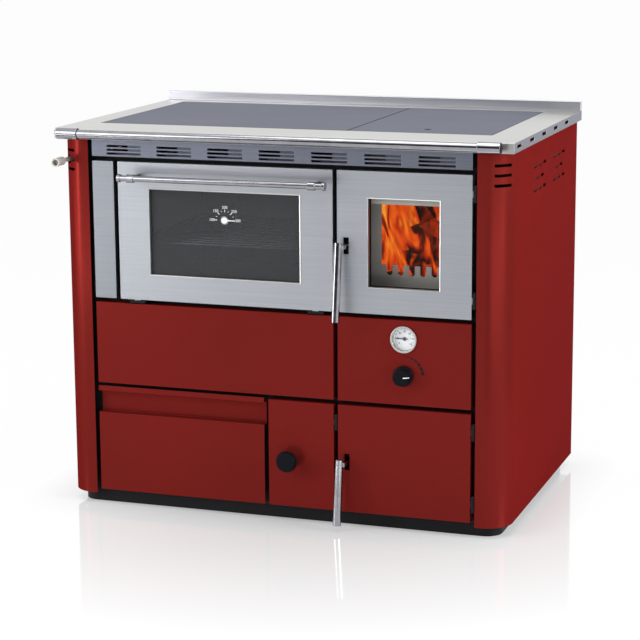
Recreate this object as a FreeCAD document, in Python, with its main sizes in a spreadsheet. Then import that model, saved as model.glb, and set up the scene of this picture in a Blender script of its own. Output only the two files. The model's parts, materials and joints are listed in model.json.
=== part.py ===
import FreeCAD, Part
import os
import re
import Sketcher

# A wood-fired cooker with a boiler: enamelled sides with rounded front corners, enamelled and
# stainless fronts, a two-piece hob in a pressed frame, a glazed fire door above an ash door, a
# drop-down oven door and a drawer for logs. Millimetres; X to the right, Y to the back, Z up. The
# origin is on the floor under the middle of the cabinet.

SIZES = (
    ("body_width", 1020, "over the side panels"),
    ("body_depth", 650, "door faces to back panel"),
    ("hob_height", 850, "floor to hob"),
    ("panel_bottom", 24, "floor to the side panels"),
    ("plinth_height", 30, "floor to base tray"),
    ("plinth_inset", 22, "plinth behind the fronts and sides"),
    ("plinth_wall", 3, "plinth sheet"),
    ("plinth_rib", 60, "rib under the middle of the base"),
    ("base_sheet", 3, "base tray"),
    ("enamel", 2, "side and back panel sheet"),
    ("corner_radius", 58, "front corners of the side panels"),
    ("front_opening", "body_width-140", "between the corner panels"),
    ("gap", 10, "around each front"),
    ("column_split", "body_width*130/1020", "line between oven side and fire side"),
    ("filler_width", 50, "filler left of the oven door"),
    ("small_door_width", 150, "cleaning door"),
    ("front_bottom", 34, "floor to the lowest fronts"),
    ("low_row", "hob_height*0.28", "height of drawer and ash door"),
    ("middle_row", "hob_height*184/850", "height of middle panels"),
    ("grille_height", 37, "vent grille under the hob"),
    ("door_row", "hob_height-frame_edge-grille_height-3*gap-front_bottom-low_row-middle_row",
     "height of oven and fire doors"),
    ("door_depth", 20, "thickness of the doors"),
    ("skin", 2, "sheet of the fronts"),
    ("liner", 3, "inner plate of a door"),
    ("seal", 4, "sealing cord, pressed"),
    ("seal_width", 7, "sealing cord, across"),
    ("overlap", 10, "front over the edge of its opening"),
    ("face_plate", 4, "steel face behind the fronts"),
    ("oven_window_width", "front_opening/2+column_split-filler_width-173", "clear glass in the oven door"),
    ("fire_window_width", "front_opening/2-column_split-154", "clear glass in the fire door"),
    ("window_height", "door_row-2*window_rise", "clear glass of both doors"),
    ("window_rise", 58, "door bottom to glass"),
    ("window_return", 7, "folded edge round the glass"),
    ("glass", 4, "door glass"),
    ("glass_rim", 12, "glass hidden behind the fold"),
    ("frame_overhang", 9, "hob frame past the sides"),
    ("frame_lip", 6, "hob frame past front and back"),
    ("frame_edge", 22, "folded edge of the hob frame"),
    ("frame_sheet", 3, "hob frame sheet"),
    ("hob_side", 67, "frame beside the hob"),
    ("hob_front", 127, "frame before the hob"),
    ("hob_rear", 43, "frame behind the hob"),
    ("hob_plate", 12, "thickness of the hob plates"),
    ("hob_shift", 12, "hob opening left of the middle"),
    ("hob_ledge", 14, "ledge under the hob plates"),
    ("hob_play", 1, "play round the hob plates"),
    ("lift_hole", 7, "radius of the lifting hole"),
    ("splash_height", 22, "upstand behind the hob"),
    ("splash_depth", 12, "upstand, front to back"),
    ("vent_length", 40, "slots in the frame edge"),
    ("vent_height", 7, "slots in the frame edge"),
    ("vent_pitch", "body_depth*114/650", "slots in the frame edge"),
    ("rail_radius", 10, "front rail"),
    ("rail_length", "body_width-54", "front rail between its caps"),
    ("rail_standoff", 24, "rail axis before the frame"),
    ("rail_drop", 8, "rail axis below the hob"),
    ("sleeve_length", 35, "rail holders"),
    ("sleeve_wall", 2.5, "rail holders"),
    ("cap_length", 14, "rail end caps"),
    ("slot_length", 80, "grille slots"),
    ("slot_height", 4.5, "grille slots"),
    ("slot_pitch", 8.3, "grille rows"),
    ("slot_rise", 15, "grille bottom to the middle row"),
    ("slot_group_pitch", "front_opening*118/880", "grille groups"),
    ("corner_slot", 6, "height of the corner slots"),
    ("corner_slot_drop", 49, "hob to the first corner slot"),
    ("corner_slot_step", 21, "corner slot rows"),
    ("side_slot_length", 26, "side panel slots"),
    ("side_slot_height", 6, "side panel slots"),
    ("side_slot_step", 45, "side panel slots along a row"),
    ("side_slot_row", 26, "side panel slot rows"),
    ("side_slot_drop", 77, "hob to the first row"),
    ("side_slot_front", "0-body_depth*0.08", "middle of the front slots"),
    ("side_slot_rear", "body_depth*0.21", "middle of the rear slots"),
    ("hinge_pin", 2.5, "radius of the hinge pins"),
    ("knuckle", 4, "radius of the hinge knuckles"),
    ("knuckle_length", 14, "door knuckle"),
    ("lug_length", 10, "each fixed lug"),
    ("hinge_set", 3, "hinge axis behind the door face"),
    ("hinge_inset", 40, "hinge from the door's end"),
    ("running", 0.05, "radial clearance of pins"),
    ("side_play", 0.3, "clearance beside moving pieces"),
    ("lever_inset", 20, "lever from the door's free edge"),
    ("fire_lever_rise", "door_row*144/305", "door bottom to lever pivot"),
    ("ash_lever_rise", "low_row*112/238", "door bottom to lever pivot"),
    ("fire_lever_length", 168, "fire door lever"),
    ("ash_lever_length", 143, "ash door lever"),
    ("lever_tube", 9, "radius of the lever tubes"),
    ("lever_wall", 1.5, "wall of the lever tubes"),
    ("lever_tilt", 8, "degrees from upright"),
    ("lever_side", 10, "lever tube beside its arm"),
    ("lever_reach", 22, "top of the lever before the door"),
    ("lever_set", 9, "lever pivot behind the door face"),
    ("lever_arm", 6, "thickness of the latch arm"),
    ("lever_pin", 3, "radius of the lever pin"),
    ("handle_radius", 6.5, "oven handle bar"),
    ("handle_length", "front_opening/2+column_split-filler_width-46", "oven handle bar"),
    ("handle_standoff", 45, "oven handle before the door"),
    ("handle_drop", 30, "door top to oven handle"),
    ("handle_shift", 10, "oven handle right of the door's middle"),
    ("handle_post_inset", 30, "post from the end of the bar"),
    ("handle_post", 5.5, "radius of the handle posts"),
    ("thermo_drop", 62, "top of the glass to the oven thermometer"),
    ("thermo_radius", 9.5, "oven thermometer boss"),
    ("pointer_length", 24, "oven thermometer pointer"),
    ("gauge_radius", 29, "boiler gauge bezel"),
    ("gauge_depth", 18, "boiler gauge behind the panel"),
    ("gauge_rise", "middle_row*143/184", "panel bottom to gauge"),
    ("knob_radius", 22, "regulator knob"),
    ("knob_depth", 25, "regulator knob"),
    ("knob_rise", "middle_row*64/184", "panel bottom to regulator"),
    ("spindle", 4, "radius of the regulator spindle"),
    ("valve_radius", 36, "air valve disc"),
    ("valve_port", 9, "radius of the air ports"),
    ("valve_offset", 24, "air ports from the spindle"),
    ("drawer_front_height", "low_row-58", "lower face of the drawer"),
    ("drawer_lip", 9, "lip above the finger recess"),
    ("recess", 20, "depth of the finger recess"),
    ("drawer_depth", "body_depth-130", "drawer box"),
    ("drawer_height", "low_row-83", "drawer box"),
    ("drawer_wall", 2, "drawer box sheet"),
    ("runner_height", 14, "drawer runners"),
    ("runner_width", 20, "drawer runners"),
    ("pull_radius", 24, "cleaning door pull"),
    ("pull_depth", 35, "cleaning door pull"),
    ("pull_inset", 50, "pull from the free edge"),
    ("pull_rise", "low_row*108/238", "door bottom to the pull"),
    ("oven_depth", "body_depth-210", "oven cavity"),
    ("oven_wall", 2, "oven liner sheet"),
    ("rack_wire", 3, "radius of the rack wires"),
    ("rack_rise", 110, "oven floor to rack"),
    ("rack_pitch", "(oven_depth-3*ledge_width-2*rack_wire)/14", "rack wires"),
    ("ledge_width", 14, "rack ledges"),
    ("jacket_wall", 5, "boiler plate"),
    ("jacket_water", 20, "water space"),
    ("jacket_left", "column_split-11", "outside of the boiler on the oven side"),
    ("jacket_right", "body_width/2-58", "outside of the boiler on the right"),
    ("jacket_rear", "body_depth/2-40", "back of the boiler"),
    ("jacket_top", "hob_height-50", "top of the boiler"),
    ("grate_height", "hob_height-444", "underside of the grate"),
    ("grate_depth", 20, "thickness of the grate"),
    ("grate_slot", 10, "grate slots"),
    ("grate_pitch", 24, "grate slots"),
    ("brick", 28, "thickness of the firebricks"),
    ("brick_height", 134, "firebricks above the grate"),
    ("fence_set", 60, "log guard behind the door face"),
    ("fence_plate", 4, "log guard plate"),
    ("fence_top", "hob_height-90", "top of the log guard"),
    ("fence_opening", "fire_window_width-20", "opening of the log guard"),
    ("fence_comb", "hob_height-278", "tips of the comb"),
    ("comb_depth", 22, "comb notches"),
    ("comb_notch", 6.5, "radius of the notches"),
    ("comb_pitch", 25, "comb notches"),
    ("ash_pan_height", 70, "ash pan"),
    ("ash_pan_depth", "body_depth-250", "ash pan"),
    ("ash_pan_side", 20, "room beside the ash pan"),
    ("ash_pan_wall", 2, "ash pan sheet"),
    ("flue_radius", 75, "outside of the flue spigot"),
    ("flue_wall", 3, "flue collar"),
    ("flue_across", "body_width/2-210", "flue left of the middle"),
    ("flue_height", "hob_height-115", "flue axis above the floor"),
    ("flue_length", 60, "spigot behind the back panel"),
    ("spigot_step", 3, "spigot inside the collar's shoulder"),
    ("smoke_rear", "body_depth/2-85", "back of the smoke chamber"),
    ("smoke_bottom", "hob_height-370", "bottom of the smoke chamber"),
    ("smoke_top", "hob_height-32", "top of the smoke chamber"),
    ("smoke_right", "column_split-70", "right side of the smoke chamber"),
    ("smoke_left", "body_width/2-90", "left side of the smoke chamber"),
    ("damper_across", "body_width/2-15", "damper rod left of the middle"),
    ("damper_rod", 5, "radius of the damper rod"),
    ("damper_knob", 9.5, "radius of the damper knob"),
    ("damper_knob_length", 34, "damper knob"),
    ("damper_reach", 50, "knob before the door faces"),
    ("damper_axis", "body_depth/2-55", "damper flap behind the middle"),
    ("damper_plate", 3, "damper flap"),
    ("damper_play", 2, "flap inside the collar"),
    ("damper_spindle", 5, "radius of the flap spindle"),
    ("crank_length", 40, "damper crank"),
    ("crank_lean", 43, "degrees the crank leans back at rest"),
    ("crank_pin", 3.5, "radius of the crank pin"),
    ("crank_play", 1.2, "crank pin in its slot"),
    ("socket_radius", 21, "outside of the water sockets"),
    ("socket_bore", 16.6, "bore of the water sockets"),
    ("socket_reach", 20, "sockets behind the back panel"),
    ("flow_height", "hob_height-90", "flow socket"),
    ("return_height", 120, "return socket"),
    ("coil_radius", 10.6, "outside of the safety coil ends"),
    ("coil_bore", 8, "bore of the safety coil ends"),
    ("coil_height", "hob_height-160", "safety coil ends"),
    ("coil_spacing", 90, "between the coil ends"),
    ("wool", 50, "thickness of the insulation"),
)

document = FreeCAD.newDocument("BoilerStove")
sheet = document.addObject("Spreadsheet::Sheet", "Sizes")
for row, (alias, size, note) in enumerate(SIZES, start=1):
    sheet.set(f"A{row}", note)
    sheet.setAlias(f"B{row}", alias)
for row, (alias, size, note) in enumerate(SIZES, start=1):
    sheet.set(f"B{row}", f"={size}")
document.recompute()

ALIAS = re.compile(r"\b(" + "|".join(alias for alias, size, note in SIZES) + r")\b")
PIECES = []


# Expressions over the named sizes.
def bound(text):
    return ALIAS.sub(r"Sizes.\1", text)


def value(text):
    return float(sheet.evalExpression(bound(text)))


def bind(item, **properties):
    for name, text in properties.items():
        item.setExpression(name, bound(text))


def place(item, x, y, z, rotation=FreeCAD.Rotation()):
    item.Placement = FreeCAD.Placement(FreeCAD.Vector(), rotation)
    for axis, text in zip("xyz", (x, y, z)):
        item.setExpression(f".Placement.Base.{axis}", bound(text))
    return item


def node(item, label):
    item.Label = label
    PIECES.append(item)
    return item


# Plain solids and the ways they are joined.
def box(x, y, z):
    item = document.addObject("Part::Box", "Block")
    bind(item, Length=f"({x[1]})-({x[0]})", Width=f"({y[1]})-({y[0]})", Height=f"({z[1]})-({z[0]})")
    return place(item, x[0], y[0], z[0])


TURNS = {
    "X": FreeCAD.Rotation(FreeCAD.Vector(0, 1, 0), 90),
    "Y": FreeCAD.Rotation(FreeCAD.Vector(1, 0, 0), -90),
    "Z": FreeCAD.Rotation(),
}


def rod(axis, across, radius, span):
    item = document.addObject("Part::Cylinder", "Rod")
    bind(item, Radius=radius, Height=f"({span[1]})-({span[0]})")
    where = list(across)
    where.insert("XYZ".index(axis), span[0])
    return place(item, *where, TURNS[axis])


def fuse(*items):
    item = document.addObject("Part::MultiFuse", "Joined")
    item.Shapes = list(items)
    return item


def group(*items):
    item = document.addObject("Part::Compound", "Group")
    item.Links = list(items)
    return item


def cut(base, *tools):
    item = document.addObject("Part::Cut", "Cut")
    item.Base = base
    item.Tool = tools[0] if len(tools) == 1 else fuse(*tools)
    return item


def pipe(axis, across, radius, bore, span):
    return cut(rod(axis, across, radius, span), rod(axis, across, bore, span))


# Sketched sheet work: each outline is a list of corners, and a corner's third item rounds it.
def rectangle(x, y):
    return [(x[0], y[0]), (x[1], y[0]), (x[1], y[1]), (x[0], y[1])]


def toward(start, end):
    return [(value(b) > value(a) + 1e-6) - (value(b) < value(a) - 1e-6) for a, b in zip(start[:2], end[:2])]


def corner_points(corners, index):
    corner = corners[index]
    if len(corner) == 2:
        return [corner]
    x, y, radius = corner
    points = []
    for neighbour in (corners[index - 1], corners[(index + 1) % len(corners)]):
        step_x, step_y = toward(corner, neighbour)
        points.append((f"({x})+({step_x})*({radius})", f"({y})+({step_y})*({radius})"))
    return points


def vector(point):
    return FreeCAD.Vector(value(point[0]), value(point[1]), 0)


def pin_point(sketch, line, end, point):
    for kind, text in zip(("DistanceX", "DistanceY"), point):
        index = sketch.addConstraint(Sketcher.Constraint(kind, -1, 1, line, end, value(text)))
        sketch.setExpression(f"Constraints[{index}]", bound(text))


def draw_outline(sketch, corners):
    points = [corner_points(corners, index) for index in range(len(corners))]
    lines = []
    for index, ends in enumerate(points):
        following = points[(index + 1) % len(points)]
        line = sketch.addGeometry(Part.LineSegment(vector(ends[-1]), vector(following[0])))
        pin_point(sketch, line, 1, ends[-1])
        if len(following) == 2:
            pin_point(sketch, line, 2, following[0])
        lines.append(line)
    for index, ends in enumerate(points):
        before, after = lines[index - 1], lines[index]
        if len(ends) == 1:
            sketch.addConstraint(Sketcher.Constraint("Coincident", before, 2, after, 1))
            continue
        round_corner(sketch, corners[index], ends, before, after)


def round_corner(sketch, corner, ends, before, after):
    start, end, tip = vector(ends[0]), vector(ends[1]), vector(corner)
    radius = value(corner[2])
    middle = start + end - tip
    rim = middle + (tip - middle).normalize() * radius
    leftward = (start - middle).cross(end - middle).z > 0
    first, last = (1, 2) if leftward else (2, 1)
    arc = sketch.addGeometry(Part.Arc(start, rim, end) if leftward else Part.Arc(end, rim, start))
    sketch.addConstraint(Sketcher.Constraint("Coincident", before, 2, arc, first))
    sketch.addConstraint(Sketcher.Constraint("Coincident", arc, last, after, 1))
    index = sketch.addConstraint(Sketcher.Constraint("Radius", arc, radius))
    sketch.setExpression(f"Constraints[{index}]", bound(corner[2]))


def draw_circle(sketch, x, y, radius):
    middle = FreeCAD.Vector(value(x), value(y), 0)
    circle = sketch.addGeometry(Part.Circle(middle, FreeCAD.Vector(0, 0, 1), value(radius)))
    pin_point(sketch, circle, 3, (x, y))
    index = sketch.addConstraint(Sketcher.Constraint("Radius", circle, value(radius)))
    sketch.setExpression(f"Constraints[{index}]", bound(radius))


def sketch_on(body, plane, height, outlines, circles=()):
    sketch = body.newObject("Sketcher::SketchObject", "Outline")
    support = next(item for item in body.Origin.OriginFeatures if item.Role == f"{plane}_Plane")
    sketch.AttachmentSupport = (support, [""])
    sketch.MapMode = "FlatFace"
    sketch.setExpression(".AttachmentOffset.Base.z", bound(height))
    for corners in outlines:
        draw_outline(sketch, corners)
    for circle in circles:
        draw_circle(sketch, *circle)
    return sketch


# The XZ plane faces the front, so a layer there grows forward from its back.
def pad(body, plane, outlines, span, circles=()):
    height = f"0-({span[1]})" if plane == "XZ" else span[0]
    layer = body.newObject("PartDesign::Pad", "Layer")
    layer.Profile = sketch_on(body, plane, height, outlines, circles)
    bind(layer, Length=f"({span[1]})-({span[0]})")
    return layer


def sheet_body(plane, *layers):
    body = document.addObject("PartDesign::Body", "Sheet")
    for layer in layers:
        pad(body, plane, *layer)
    return body


# Turned pieces: radius and height along the piece's own axis, which points to the front.
FORWARD = FreeCAD.Rotation(FreeCAD.Vector(1, 0, 0), 90)


def turned(profile, x, y, z):
    body = document.addObject("PartDesign::Body", "Turned")
    sketch = sketch_on(body, "XZ", "0", [profile])
    spin = body.newObject("PartDesign::Revolution", "Spin")
    spin.Profile = sketch
    spin.ReferenceAxis = (sketch, ["V_Axis"])
    spin.Angle = 360
    return place(body, x, y, z, FORWARD)


# Places that many pieces share.
HALF = "body_width/2"
FRONT = "(-body_depth/2)"
BACK = "(body_depth/2)"
DOOR_BACK = f"({FRONT}+door_depth)"
FACE = f"({DOOR_BACK}+seal)"
FACE_BACK = f"({FACE}+face_plate)"
BASE = "(plinth_height+base_sheet)"
TOP = "(hob_height-frame_sheet)"
INSIDE = f"({HALF}-enamel)"

LOW = ("front_bottom", "(front_bottom+low_row)")
MIDDLE = (f"({LOW[1]}+gap)", f"({LOW[1]}+gap+middle_row)")
UPPER = (f"({MIDDLE[1]}+gap)", f"({MIDDLE[1]}+gap+door_row)")
GRILLE = (f"({UPPER[1]}+gap)", "(hob_height-frame_edge)")

LEFT_EDGE = "(gap-front_opening/2)"
FIRE = ("(column_split+gap/2)", "(front_opening/2-gap)")
OVEN = (f"({LEFT_EDGE}+filler_width+gap)", "(column_split-gap/2)")
SMALL = (f"({OVEN[1]}-small_door_width)", OVEN[1])
DRAWER = (LEFT_EDGE, f"({SMALL[0]}-gap)")
FIRE_MIDDLE = f"(({FIRE[0]}+{FIRE[1]})/2)"
OVEN_MIDDLE = f"(({OVEN[0]}+{OVEN[1]})/2)"


def grown(span, by):
    return f"({span[0]}-({by}))", f"({span[1]}+({by}))"


def opening(span):
    return grown(span, "0-overlap")


# Base: a black plinth set back under the cabinet, and the tray that carries everything.
plinth_x = f"({HALF}-plinth_inset)"
plinth_y = (f"({FRONT}+plinth_inset)", f"({BACK}-plinth_inset)")
plinth_hole_y = grown(plinth_y, "0-plinth_wall")
plinth_round = "(corner_radius-plinth_inset)"
plinth_outline = [
    (f"-{plinth_x}", plinth_y[1]),
    (f"-{plinth_x}", plinth_y[0], plinth_round),
    (plinth_x, plinth_y[0], plinth_round),
    (plinth_x, plinth_y[1]),
]
plinth_holes = []
for side in ("-1", "1"):
    near, far = f"({side})*plinth_rib/2", f"({side})*({plinth_x}-plinth_wall)"
    hole_round = f"({plinth_round}-plinth_wall)"
    plinth_holes.append([
        (near, plinth_hole_y[0]),
        (far, plinth_hole_y[0], hole_round),
        (far, plinth_hole_y[1]),
        (near, plinth_hole_y[1]),
    ])
node(sheet_body("XY", ([plinth_outline, *plinth_holes], ("0", "plinth_height"))), "plinth")

tray_step = f"({FRONT}+corner_radius)"
tray_narrow = f"({HALF}-corner_radius)"
tray_back = f"({BACK}-enamel)"
tray_outline = [
    (f"-{tray_narrow}", FACE),
    (tray_narrow, FACE),
    (tray_narrow, tray_step),
    (INSIDE, tray_step),
    (INSIDE, tray_back),
    (f"-{INSIDE}", tray_back),
    (f"-{INSIDE}", tray_step),
    (f"-{tray_narrow}", tray_step),
]
tray = sheet_body("XY", ([tray_outline], ("plinth_height", BASE)))


# Side panels: enamelled sheet bent round the front corners, slotted for the warm air.
DAMPER_X = "(0-damper_across)"
DAMPER_Z = "(hob_height-corner_slot_drop-corner_slot_step)"


def corner_slots(side):
    reach = "(corner_radius*3/5)"
    slots = []
    for row in range(3):
        middle = f"(hob_height-corner_slot_drop-{row}*corner_slot_step)"
        ends = (f"{HALF}-{reach}", f"{HALF}+1")
        across = ends if side == 1 else (f"0-({ends[1]})", f"0-({ends[0]})")
        slots.append(box(across, (f"{FRONT}-1", f"{FRONT}+{reach}"),
                         (f"{middle}-corner_slot/2", f"{middle}+corner_slot/2")))
    return slots


def side_slots(side):
    ends = (f"{HALF}-2*enamel", f"{HALF}+enamel")
    across = ends if side == 1 else (f"0-({ends[1]})", f"0-({ends[0]})")
    slots = []
    for cluster in ("side_slot_front", "side_slot_rear"):
        for row, offsets in enumerate(((-1, 0, 1), (-0.5, 0.5), (-1, 0, 1))):
            height = f"(hob_height-side_slot_drop-{row}*side_slot_row)"
            for offset in offsets:
                middle = f"({cluster}+({offset})*side_slot_step)"
                slots.append(box(across, (f"{middle}-side_slot_length/2", f"{middle}+side_slot_length/2"),
                                 (f"{height}-side_slot_height/2", f"{height}+side_slot_height/2")))
    return slots


for side, label in ((-1, "left_side_panel"), (1, "right_side_panel")):
    outer, inner, edge = f"({side})*{HALF}", f"({side})*{INSIDE}", f"({side})*front_opening/2"
    panel_outline = [
        (outer, BACK),
        (outer, FRONT, "corner_radius"),
        (edge, FRONT),
        (edge, f"({FRONT}+enamel)"),
        (inner, f"({FRONT}+enamel)", "(corner_radius-enamel)"),
        (inner, BACK),
    ]
    panel = sheet_body("XY", ([panel_outline], ("panel_bottom", TOP)))
    holes = corner_slots(side) + side_slots(side)
    if side == -1:
        holes.append(rod("Y", (DAMPER_X, DAMPER_Z), "damper_knob+2*side_play",
                         (f"{FRONT}-1", f"{FRONT}+corner_radius")))
    node(cut(panel, *holes), label)

# Back panel, with room for the flue collar and the pipe ends.
FLUE_X = "(0-flue_across)"
WATER_X = "((jacket_left+jacket_right)/2)"
COIL_X = (f"({WATER_X}-coil_spacing/2)", f"({WATER_X}+coil_spacing/2)")
back_holes = [
    (FLUE_X, "flue_height", "flue_radius+spigot_step+side_play"),
    (WATER_X, "flow_height", "socket_radius+side_play"),
    (WATER_X, "return_height", "socket_radius+side_play"),
]
for coil_x in COIL_X:
    back_holes.append((coil_x, "coil_height", "coil_radius+side_play"))
back_sheet = rectangle((f"-{INSIDE}", INSIDE), (BASE, TOP))
node(sheet_body("XZ", ([back_sheet], (f"({BACK}-enamel)", BACK), back_holes)), "back_panel")

# Steel face behind the fronts, with an opening for each door, the drawer, the grille and the air.
KNOB_Z = f"({MIDDLE[0]}+knob_rise)"
face_openings = [
    rectangle((f"-{tray_narrow}", tray_narrow), (BASE, TOP)),
    rectangle(opening(OVEN), opening(UPPER)),
    rectangle(opening(FIRE), opening(UPPER)),
    rectangle(opening(FIRE), opening(LOW)),
    rectangle(opening(SMALL), opening(LOW)),
    rectangle(opening(DRAWER), opening(LOW)),
    rectangle(opening((LEFT_EDGE, FIRE[1])), grown(GRILLE, "0-overlap/2")),
]
air_ports = []
for side in ("-1", "1"):
    air_ports.append((f"{FIRE_MIDDLE}+({side})*valve_offset", KNOB_Z, "valve_port"))
face_sheet = sheet_body("XZ", (face_openings, (FACE, FACE_BACK), air_ports))

# Vent grille under the hob frame: groups of three slots, edges folded back to the face.
grille_x = (LEFT_EDGE, FIRE[1])
folds = [
    rectangle(grille_x, (GRILLE[0], f"({GRILLE[0]}+skin)")),
    rectangle(grille_x, (f"({GRILLE[1]}-skin)", GRILLE[1])),
]
SLOT_GROUPS = 7
grille = sheet_body(
    "XZ",
    ([rectangle(grille_x, GRILLE)], (FRONT, f"({FRONT}+skin)")),
    (folds, (f"({FRONT}+skin)", FACE)),
)
first_slot = f"(0-{SLOT_GROUPS // 2}*slot_group_pitch)"
grille_middle = f"({GRILLE[0]}+slot_rise)"
slot_rows = []
for row in (-1, 0, 1):
    height = f"({grille_middle}+({row})*slot_pitch)"
    slot_rows.append(rectangle((f"{first_slot}-slot_length/2", f"{first_slot}+slot_length/2"),
                               (f"{height}-slot_height/2", f"{height}+slot_height/2")))
slots = grille.newObject("PartDesign::Pocket", "Slots")
slots.Profile = sketch_on(grille, "XZ", f"0-{FRONT}", slot_rows)
bind(slots, Length="skin")
slot_pattern = grille.newObject("PartDesign::LinearPattern", "SlotGroups")
slot_pattern.Originals = [slots]
slot_pattern.Direction = (slots.Profile[0], ["H_Axis"])
bind(slot_pattern, Length=f"{SLOT_GROUPS - 1}*slot_group_pitch")
slot_pattern.Occurrences = SLOT_GROUPS
grille.Tip = slot_pattern
node(grille, "vent_grille")

# A strip behind the grille that shields one half of each slot group.
shields = []
for index in range(SLOT_GROUPS):
    middle = f"({first_slot}+{index}*slot_group_pitch)"
    shields.append(rectangle((f"{middle}-slot_length/2", middle), grown(GRILLE, "0-2*skin-1")))
shield_layer = [rectangle(opening(grille_x), grown(GRILLE, "0-skin")), *shields]
node(sheet_body("XZ", (shield_layer, (f"({FACE}-skin)", FACE))), "grille_shield")

# Hob frame: a pressed sheet with a folded edge, and a ledge that carries the two hob plates.
FRAME_X = f"({HALF}+frame_overhang)"
FRAME_Y = (f"({FRONT}-frame_lip)", f"({BACK}+frame_lip)")
HOB_X = (f"(hob_side-{FRAME_X}-hob_shift)", f"({FRAME_X}-hob_side-hob_shift)")
HOB_SPLIT = "(column_split-hob_shift)"
HOB_Y = (f"({FRAME_Y[0]}+hob_front)", f"({FRAME_Y[1]}-hob_rear)")
frame_outer = rectangle((f"-{FRAME_X}", FRAME_X), FRAME_Y)
frame_inner = rectangle((f"(frame_sheet-{FRAME_X})", f"({FRAME_X}-frame_sheet)"),
                        grown(FRAME_Y, "0-frame_sheet"))
hob_hole = rectangle(HOB_X, HOB_Y)
hob_wall = rectangle(grown(HOB_X, "frame_sheet"), grown(HOB_Y, "frame_sheet"))
ledge_hole = rectangle(grown(HOB_X, "0-hob_ledge"), grown(HOB_Y, "0-hob_ledge"))
LEDGE = "(hob_height-hob_plate)"
frame = sheet_body(
    "XY",
    ([frame_outer, hob_hole], (TOP, "hob_height")),
    ([frame_outer, frame_inner], (GRILLE[1], TOP)),
    ([hob_wall, hob_hole], (LEDGE, TOP)),
    ([hob_wall, ledge_hole], (f"({LEDGE}-frame_sheet)", LEDGE)),
)
edge_vents = []
vent_z = f"({TOP}-vent_height)"
for index in range(5):
    middle = f"({index - 2.5}*vent_pitch)"
    edge_vents.append(box((f"-{FRAME_X}-1", f"{FRAME_X}+1"),
                          (f"{middle}-vent_length/2", f"{middle}+vent_length/2"),
                          (f"{vent_z}-vent_height/2", f"{vent_z}+vent_height/2")))
inner_block = box((f"frame_sheet-{FRAME_X}", f"{FRAME_X}-frame_sheet"), FRAME_Y, ("0", "hob_height"))
node(cut(frame, cut(fuse(*edge_vents), inner_block)), "hob_frame")

splash_x = (f"-{FRAME_X}", FRAME_X)
splash_y = (f"{FRAME_Y[1]}-splash_depth", FRAME_Y[1])
node(box(splash_x, splash_y, ("hob_height", "hob_height+splash_height")), "splashback")

# Hob plates: the smaller one lies over the fire and has a hole for its lifter.
hob_span_y = grown(HOB_Y, "0-hob_play")
hob_z = (LEDGE, "hob_height")
left_plate = rectangle((f"({HOB_X[0]}+hob_play)", f"({HOB_SPLIT}-hob_play/2)"), hob_span_y)
right_plate = rectangle((f"({HOB_SPLIT}+hob_play/2)", f"({HOB_X[1]}-hob_play)"), hob_span_y)
lift_place = (f"(({HOB_SPLIT}+{HOB_X[1]})/2)", f"({HOB_Y[0]}+10*lift_hole)", "lift_hole")
node(sheet_body("XY", ([left_plate], hob_z)), "hob_plate_left")
node(sheet_body("XY", ([right_plate], hob_z, [lift_place])), "hob_plate_right")

# Front rail: a tube held in two sleeves on the frame's edge, closed by turned caps.
RAIL = (f"({FRAME_Y[0]}-rail_standoff)", "(hob_height-rail_drop)")
SLEEVE = "(rail_radius+sleeve_wall)"
rail_span = ("-rail_length/2", "rail_length/2")
node(rod("X", RAIL, "rail_radius", rail_span), "front_rail")
holders, caps = [], []
for side in (-1, 1):
    ends = ("rail_length/2-sleeve_length", "rail_length/2")
    span = ends if side == 1 else ("-rail_length/2", "sleeve_length-rail_length/2")
    stub = rod("Y", (f"({span[0]}+{span[1]})/2", RAIL[1]), "rail_radius*0.7", (RAIL[0], FRAME_Y[0]))
    sleeve = fuse(rod("X", RAIL, SLEEVE, span), stub)
    holders.append(cut(sleeve, rod("X", RAIL, "rail_radius+running", span)))
    cap_span = ("rail_length/2", "rail_length/2+cap_length")
    cap_span = cap_span if side == 1 else ("-rail_length/2-cap_length", "-rail_length/2")
    caps.append(rod("X", RAIL, SLEEVE, cap_span))
node(group(*holders, *caps), "rail_fittings")


# Fronts: folded stainless trays. A window is a hole with its edge folded inward.
def tray_layers(x, z, depth, holes=(), circles=(), window=None):
    front = [rectangle(x, z), *holes]
    rim = [rectangle(x, z), rectangle(grown(x, "0-skin"), grown(z, "0-skin"))]
    layers = []
    if window:
        front.append(rectangle(*window))
        fold = [rectangle(*(grown(span, "skin") for span in window)), rectangle(*window)]
        layers.append((fold, (f"({FRONT}+skin)", f"({FRONT}+window_return)")))
    layers.insert(0, (front, (FRONT, f"({FRONT}+skin)"), circles))
    layers.insert(1, (rim, (f"({FRONT}+skin)", depth)))
    return layers


node(sheet_body("XZ", *tray_layers((LEFT_EDGE, f"({LEFT_EDGE}+filler_width)"), UPPER, FACE)), "filler_panel")
node(sheet_body("XZ", *tray_layers((LEFT_EDGE, OVEN[1]), MIDDLE, FACE)), "middle_panel")

GAUGE_Z = f"({MIDDLE[0]}+gauge_rise)"
gauge_barrel = "(gauge_radius-skin)"
panel_holes = [
    (FIRE_MIDDLE, GAUGE_Z, f"{gauge_barrel}+side_play"),
    (FIRE_MIDDLE, KNOB_Z, "spindle+running"),
]
node(sheet_body("XZ", *tray_layers(FIRE, MIDDLE, FACE, circles=panel_holes)), "control_panel")


# Latch levers: a tube that hangs before the door, welded to an arm that turns on a pin in two ears.
LEVER_X = f"({FIRE[0]}+lever_inset)"
LEVER_Y = f"({FRONT}+lever_set)"
FIRE_LEVER_Z = f"({UPPER[0]}+fire_lever_rise)"
ASH_LEVER_Z = f"({LOW[0]}+ash_lever_rise)"


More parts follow.
